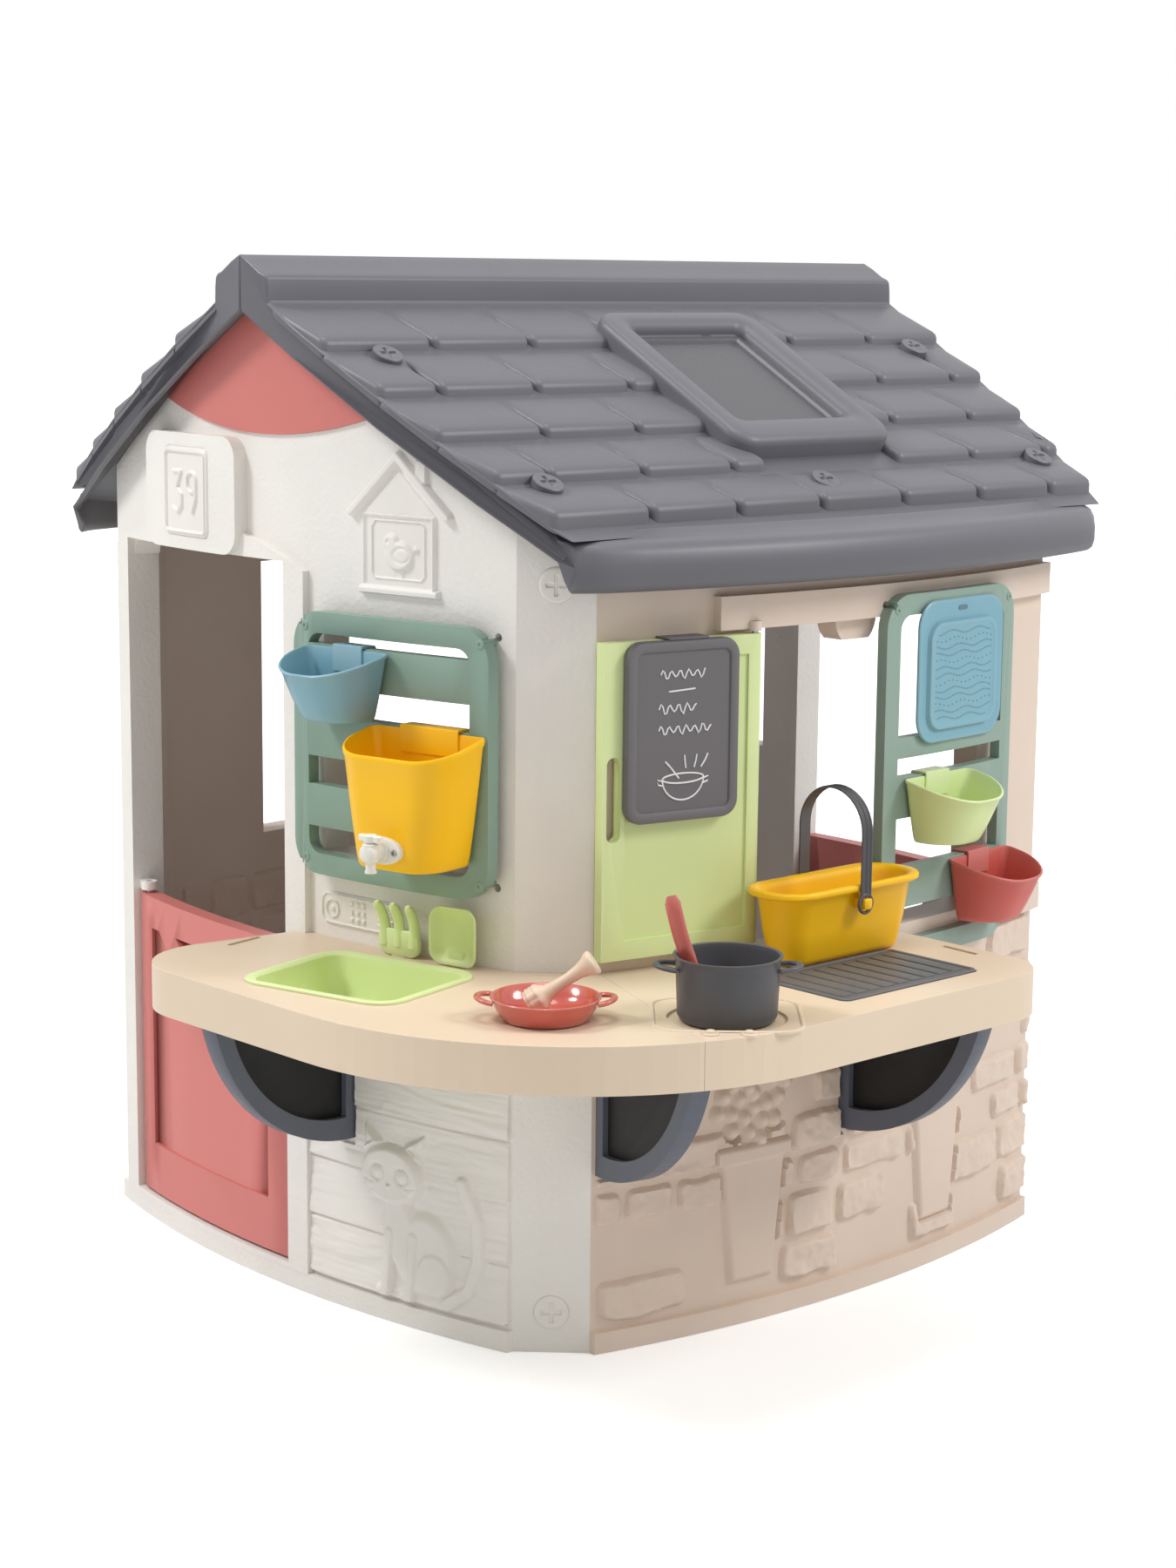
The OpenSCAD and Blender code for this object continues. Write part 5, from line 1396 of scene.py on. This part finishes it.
def rake():
    bm = bmesh.new()
    tool_neck(bm)
    palm = round_rect(0.066, 0.034, 0.014, 6)
    rings = [[Vector((x, y, z + 0.5045)) for x, z in inset_ring(palm, inset)]
             for y, inset in ((0.0040, 0.0014), (0.0028, 0.0), (-0.0032, 0.0), (-0.0046, 0.0016))]
    loft(bm, rings)
    for x in (-0.0235, 0.0, 0.0235):
        path, radii = [], []
        for k in range(13):
            t = k / 12
            curl = math.radians(95 * max(0.0, t - 0.35) / 0.65)
            path.append((x * (1 + 0.10 * t), -0.0140 * (1 - math.cos(curl)),
                         0.500 + 0.050 * t + 0.006 * math.sin(curl)))
            radii.append(0.0086 * (1 - 0.22 * t) * (1 if k < 12 else 0.5))
        tube(bm, path, radii, 14, 0.8)
    piece("rake_head", bm, GREEN, body="rake", node="rake",
          place=wall_matrix("front", 0.263, 0.018), angle=55)


def shovel():
    bm = bmesh.new()
    tool_neck(bm)
    outline = round_rect(0.072, 0.074, 0.018, 8)
    rings = []
    for inset, y in ((0.026, 0.0030), (0.012, 0.0026), (0.004, 0.0005), (0.0, -0.0040),
                     (0.0008, -0.0058),
                     (0.0030, -0.0060), (0.0055, -0.0040), (0.012, 0.0000), (0.024, 0.0010)):
        ring = []
        for x, z in inset_ring(outline, inset):
            curve = -0.006 * (x / 0.036) ** 2
            ring.append(Vector((x, y + curve, z + 0.5255)))
        rings.append(ring)
    loft(bm, rings)
    piece("shovel_head", bm, GREEN, body="shovel", node="shovel",
          place=wall_matrix("front", 0.352, 0.018), angle=50)


def sieve():
    """A shallow tray with rows of small holes that run in waves, painted as dark blue discs that
    stand for the shade in them.
    """
    w, h = 0.190, 0.187
    zc = 0.730 + h / 2
    bm = bmesh.new()
    flange = round_rect(w, h, 0.036, 10)
    inner = round_rect(w - 0.038, h - 0.044, 0.026, 10)
    rings = []
    for shape, inset, y in ((flange, 0.004, 0.0), (flange, 0.0, -0.0006), (flange, 0.0, -0.0034),
                            (flange, 0.0016, -0.0046), (flange, 0.006, -0.0040),
                            (inner, -0.001, -0.0036),
                            (inner, 0.0, -0.0050), (inner, 0.0016, -0.0086),
                            (inner, 0.0040, -0.0095),
                            (inner, 0.0070, -0.0086), (inner, 0.0090, -0.0080),
                            (inner, 0.020, -0.0080)):
        shift = -0.006 if shape is inner else 0.0
        rings.append([Vector((x, y, z + zc + shift)) for x, z in inset_ring(shape, inset)])
    loft(bm, rings)
    place = wall_matrix("right", 0.153, 0.0303)
    piece("sieve_tray", bm, BLUE, body="sieve", node="sieve", place=place,
          angle=40)
    # Painted shade: the holes and the hanging slot are dark blue discs in the tray, not openings.
    bm = bmesh.new()
    for row in range(13):
        for col in range(27):
            x = (col - 13) * 0.0047
            z = zc - 0.006 + (row - 6) * 0.0094 + 0.0026 * math.sin(x * 105 + row * 0.9)
            if d_box(np.array(x), np.array(z), 0, zc - 0.006, w / 2 - 0.032, h / 2 - 0.034,
                     0.016) > 0:
                continue
            if row % 3 == 2 and col % 2:
                continue
            ring = [Vector((x + 0.00115 * math.cos(a), 0, z + 0.00115 * math.sin(a)))
                    for a in (k * math.pi / 3 for k in range(6))]
            loft(bm, [[p + Vector((0, y, 0)) for p in ring] for y in (-0.0070, -0.0083)])
    slot_line = round_rect(0.020, 0.006, 0.0029, 5)
    loft(bm, [[Vector((x, y, z + zc + h / 2 - 0.013)) for x, z in slot_line]
              for y in (-0.0030, -0.0046)])
    piece("sieve_hole_shade", bm, HOLE_SHADE, body="sieve", place=place)


def stroke(bm, points, r=0.0011):
    tube(bm, [(x, 0, z) for x, z in points], r, 6, 1.0)


def chalkboard():
    """A slate in a rounded frame, hung over the shutter's top edge, with a chalk drawing."""
    w, h, t = 0.162, 0.222, 0.013
    shutter_u = -0.190 - 0.007 - 0.233 / 2
    top = 0.895
    place = (wall_matrix("right", shutter_u, 0.004)
             @ Matrix.Translation((-0.008, -0.0163, top - h / 2)))
    frame_line = round_rect(w, h, 0.022, 8)
    slate_line = round_rect(w - 0.026, h - 0.026, 0.010, 8)
    bm = bmesh.new()
    rings = []
    for shape, inset, y in ((frame_line, 0.003, 0.0), (frame_line, 0.0, -0.001),
                            (frame_line, 0.0, -t + 0.004),
                            (frame_line, 0.0014, -t + 0.001), (frame_line, 0.0045, -t),
                            (slate_line, -0.0020, -t),
                            (slate_line, 0.0, -t + 0.0012), (slate_line, 0.0006, -t + 0.0030),
                            (slate_line, 0.008, -t + 0.0030)):
        rings.append([Vector((x, y, z)) for x, z in inset_ring(shape, inset)])
    loft(bm, rings)
    hang = round_rect(0.060, 0.030, 0.003, 3)
    loft(bm, [[Vector((x + 0.008, y + 0.006, h / 2 + z)) for x, y in hang]
              for z in (0.0006, 0.0026)])
    piece("chalkboard_slate", bm, CHALKBOARD, body="chalkboard", node="chalkboard",
          place=place, angle=35)
    bm = bmesh.new()
    for z, left, right, tall in ((0.070, -0.034, 0.030, 0.0065), (0.028, -0.036, 0.018, 0.0075),
                                 (0.002, -0.036, 0.040, 0.0065)):
        points = []
        count = int((right - left) / 0.0026)
        for k in range(count + 1):
            x = left + (right - left) * k / count
            points.append((x, z + tall * math.sin(k * 1.35) * (0.75 + 0.25 * math.sin(k * 0.6))))
        stroke(bm, points)
    stroke(bm, [(-0.022, 0.049), (0.016, 0.051)])
    bowl = [(0.030 * math.cos(math.radians(a)), -0.058 + 0.027 * math.sin(math.radians(a)))
            for a in range(180, 361, 12)]
    stroke(bm, bowl)
    rim = [(0.030 * math.cos(math.radians(a)), -0.058 + 0.006 * math.sin(math.radians(a)))
           for a in range(0, 361, 15)]
    stroke(bm, rim)
    stroke(bm, [(0.030, -0.060), (0.037, -0.058), (0.036, -0.064), (0.029, -0.066)])
    stroke(bm, [(-0.030, -0.060), (-0.037, -0.058), (-0.036, -0.064), (-0.029, -0.066)])
    stroke(bm, [(-0.006, -0.058), (-0.018, -0.044), (-0.026, -0.036)])
    for x, lean in ((0.004, -0.002), (0.016, 0.004), (0.026, 0.010)):
        stroke(bm, [(x, -0.046), (x + lean * 0.6, -0.038), (x + lean, -0.030)])
    piece("chalk_lines", bm, CHALK, body="chalkboard",
          place=place @ Matrix.Translation((0, -t + 0.0026, 0)))


corner_screw_heads()
trellis_plug_heads()
for bracket_name in BRACKETS:
    bracket_web_shade(bracket_name)
hob()
drain_ribs()
basin()
pot()
pan()
ladle()
masher()
basket()
CUP = {"w": 0.142, "d": 0.088, "h": 0.086, "narrow": 0.66, "dip": 0.024, "front_r": 0.062,
       "hook_w": 0.050}
TANK = {"w": 0.176, "d": 0.092, "h": 0.161, "narrow": 0.72, "dip": 0.022, "front_r": 0.050,
        "hook_w": 0.090, "shallow": 0.95}
hanging_tub("cup_blue", "front", 0.192, 0.868, BLUE, "sky_blue", **CUP)
hanging_tub("cup_green", "right", 0.108, 0.688, GREEN, "light_green", **CUP)
hanging_tub("cup_coral", "right", 0.206, 0.569, CORAL, "coral", **CUP)
hanging_tub("dispenser", "front", 0.322, 0.779, YELLOW, "yellow", **TANK)
tap()
rake()
shovel()
sieve()
chalkboard()
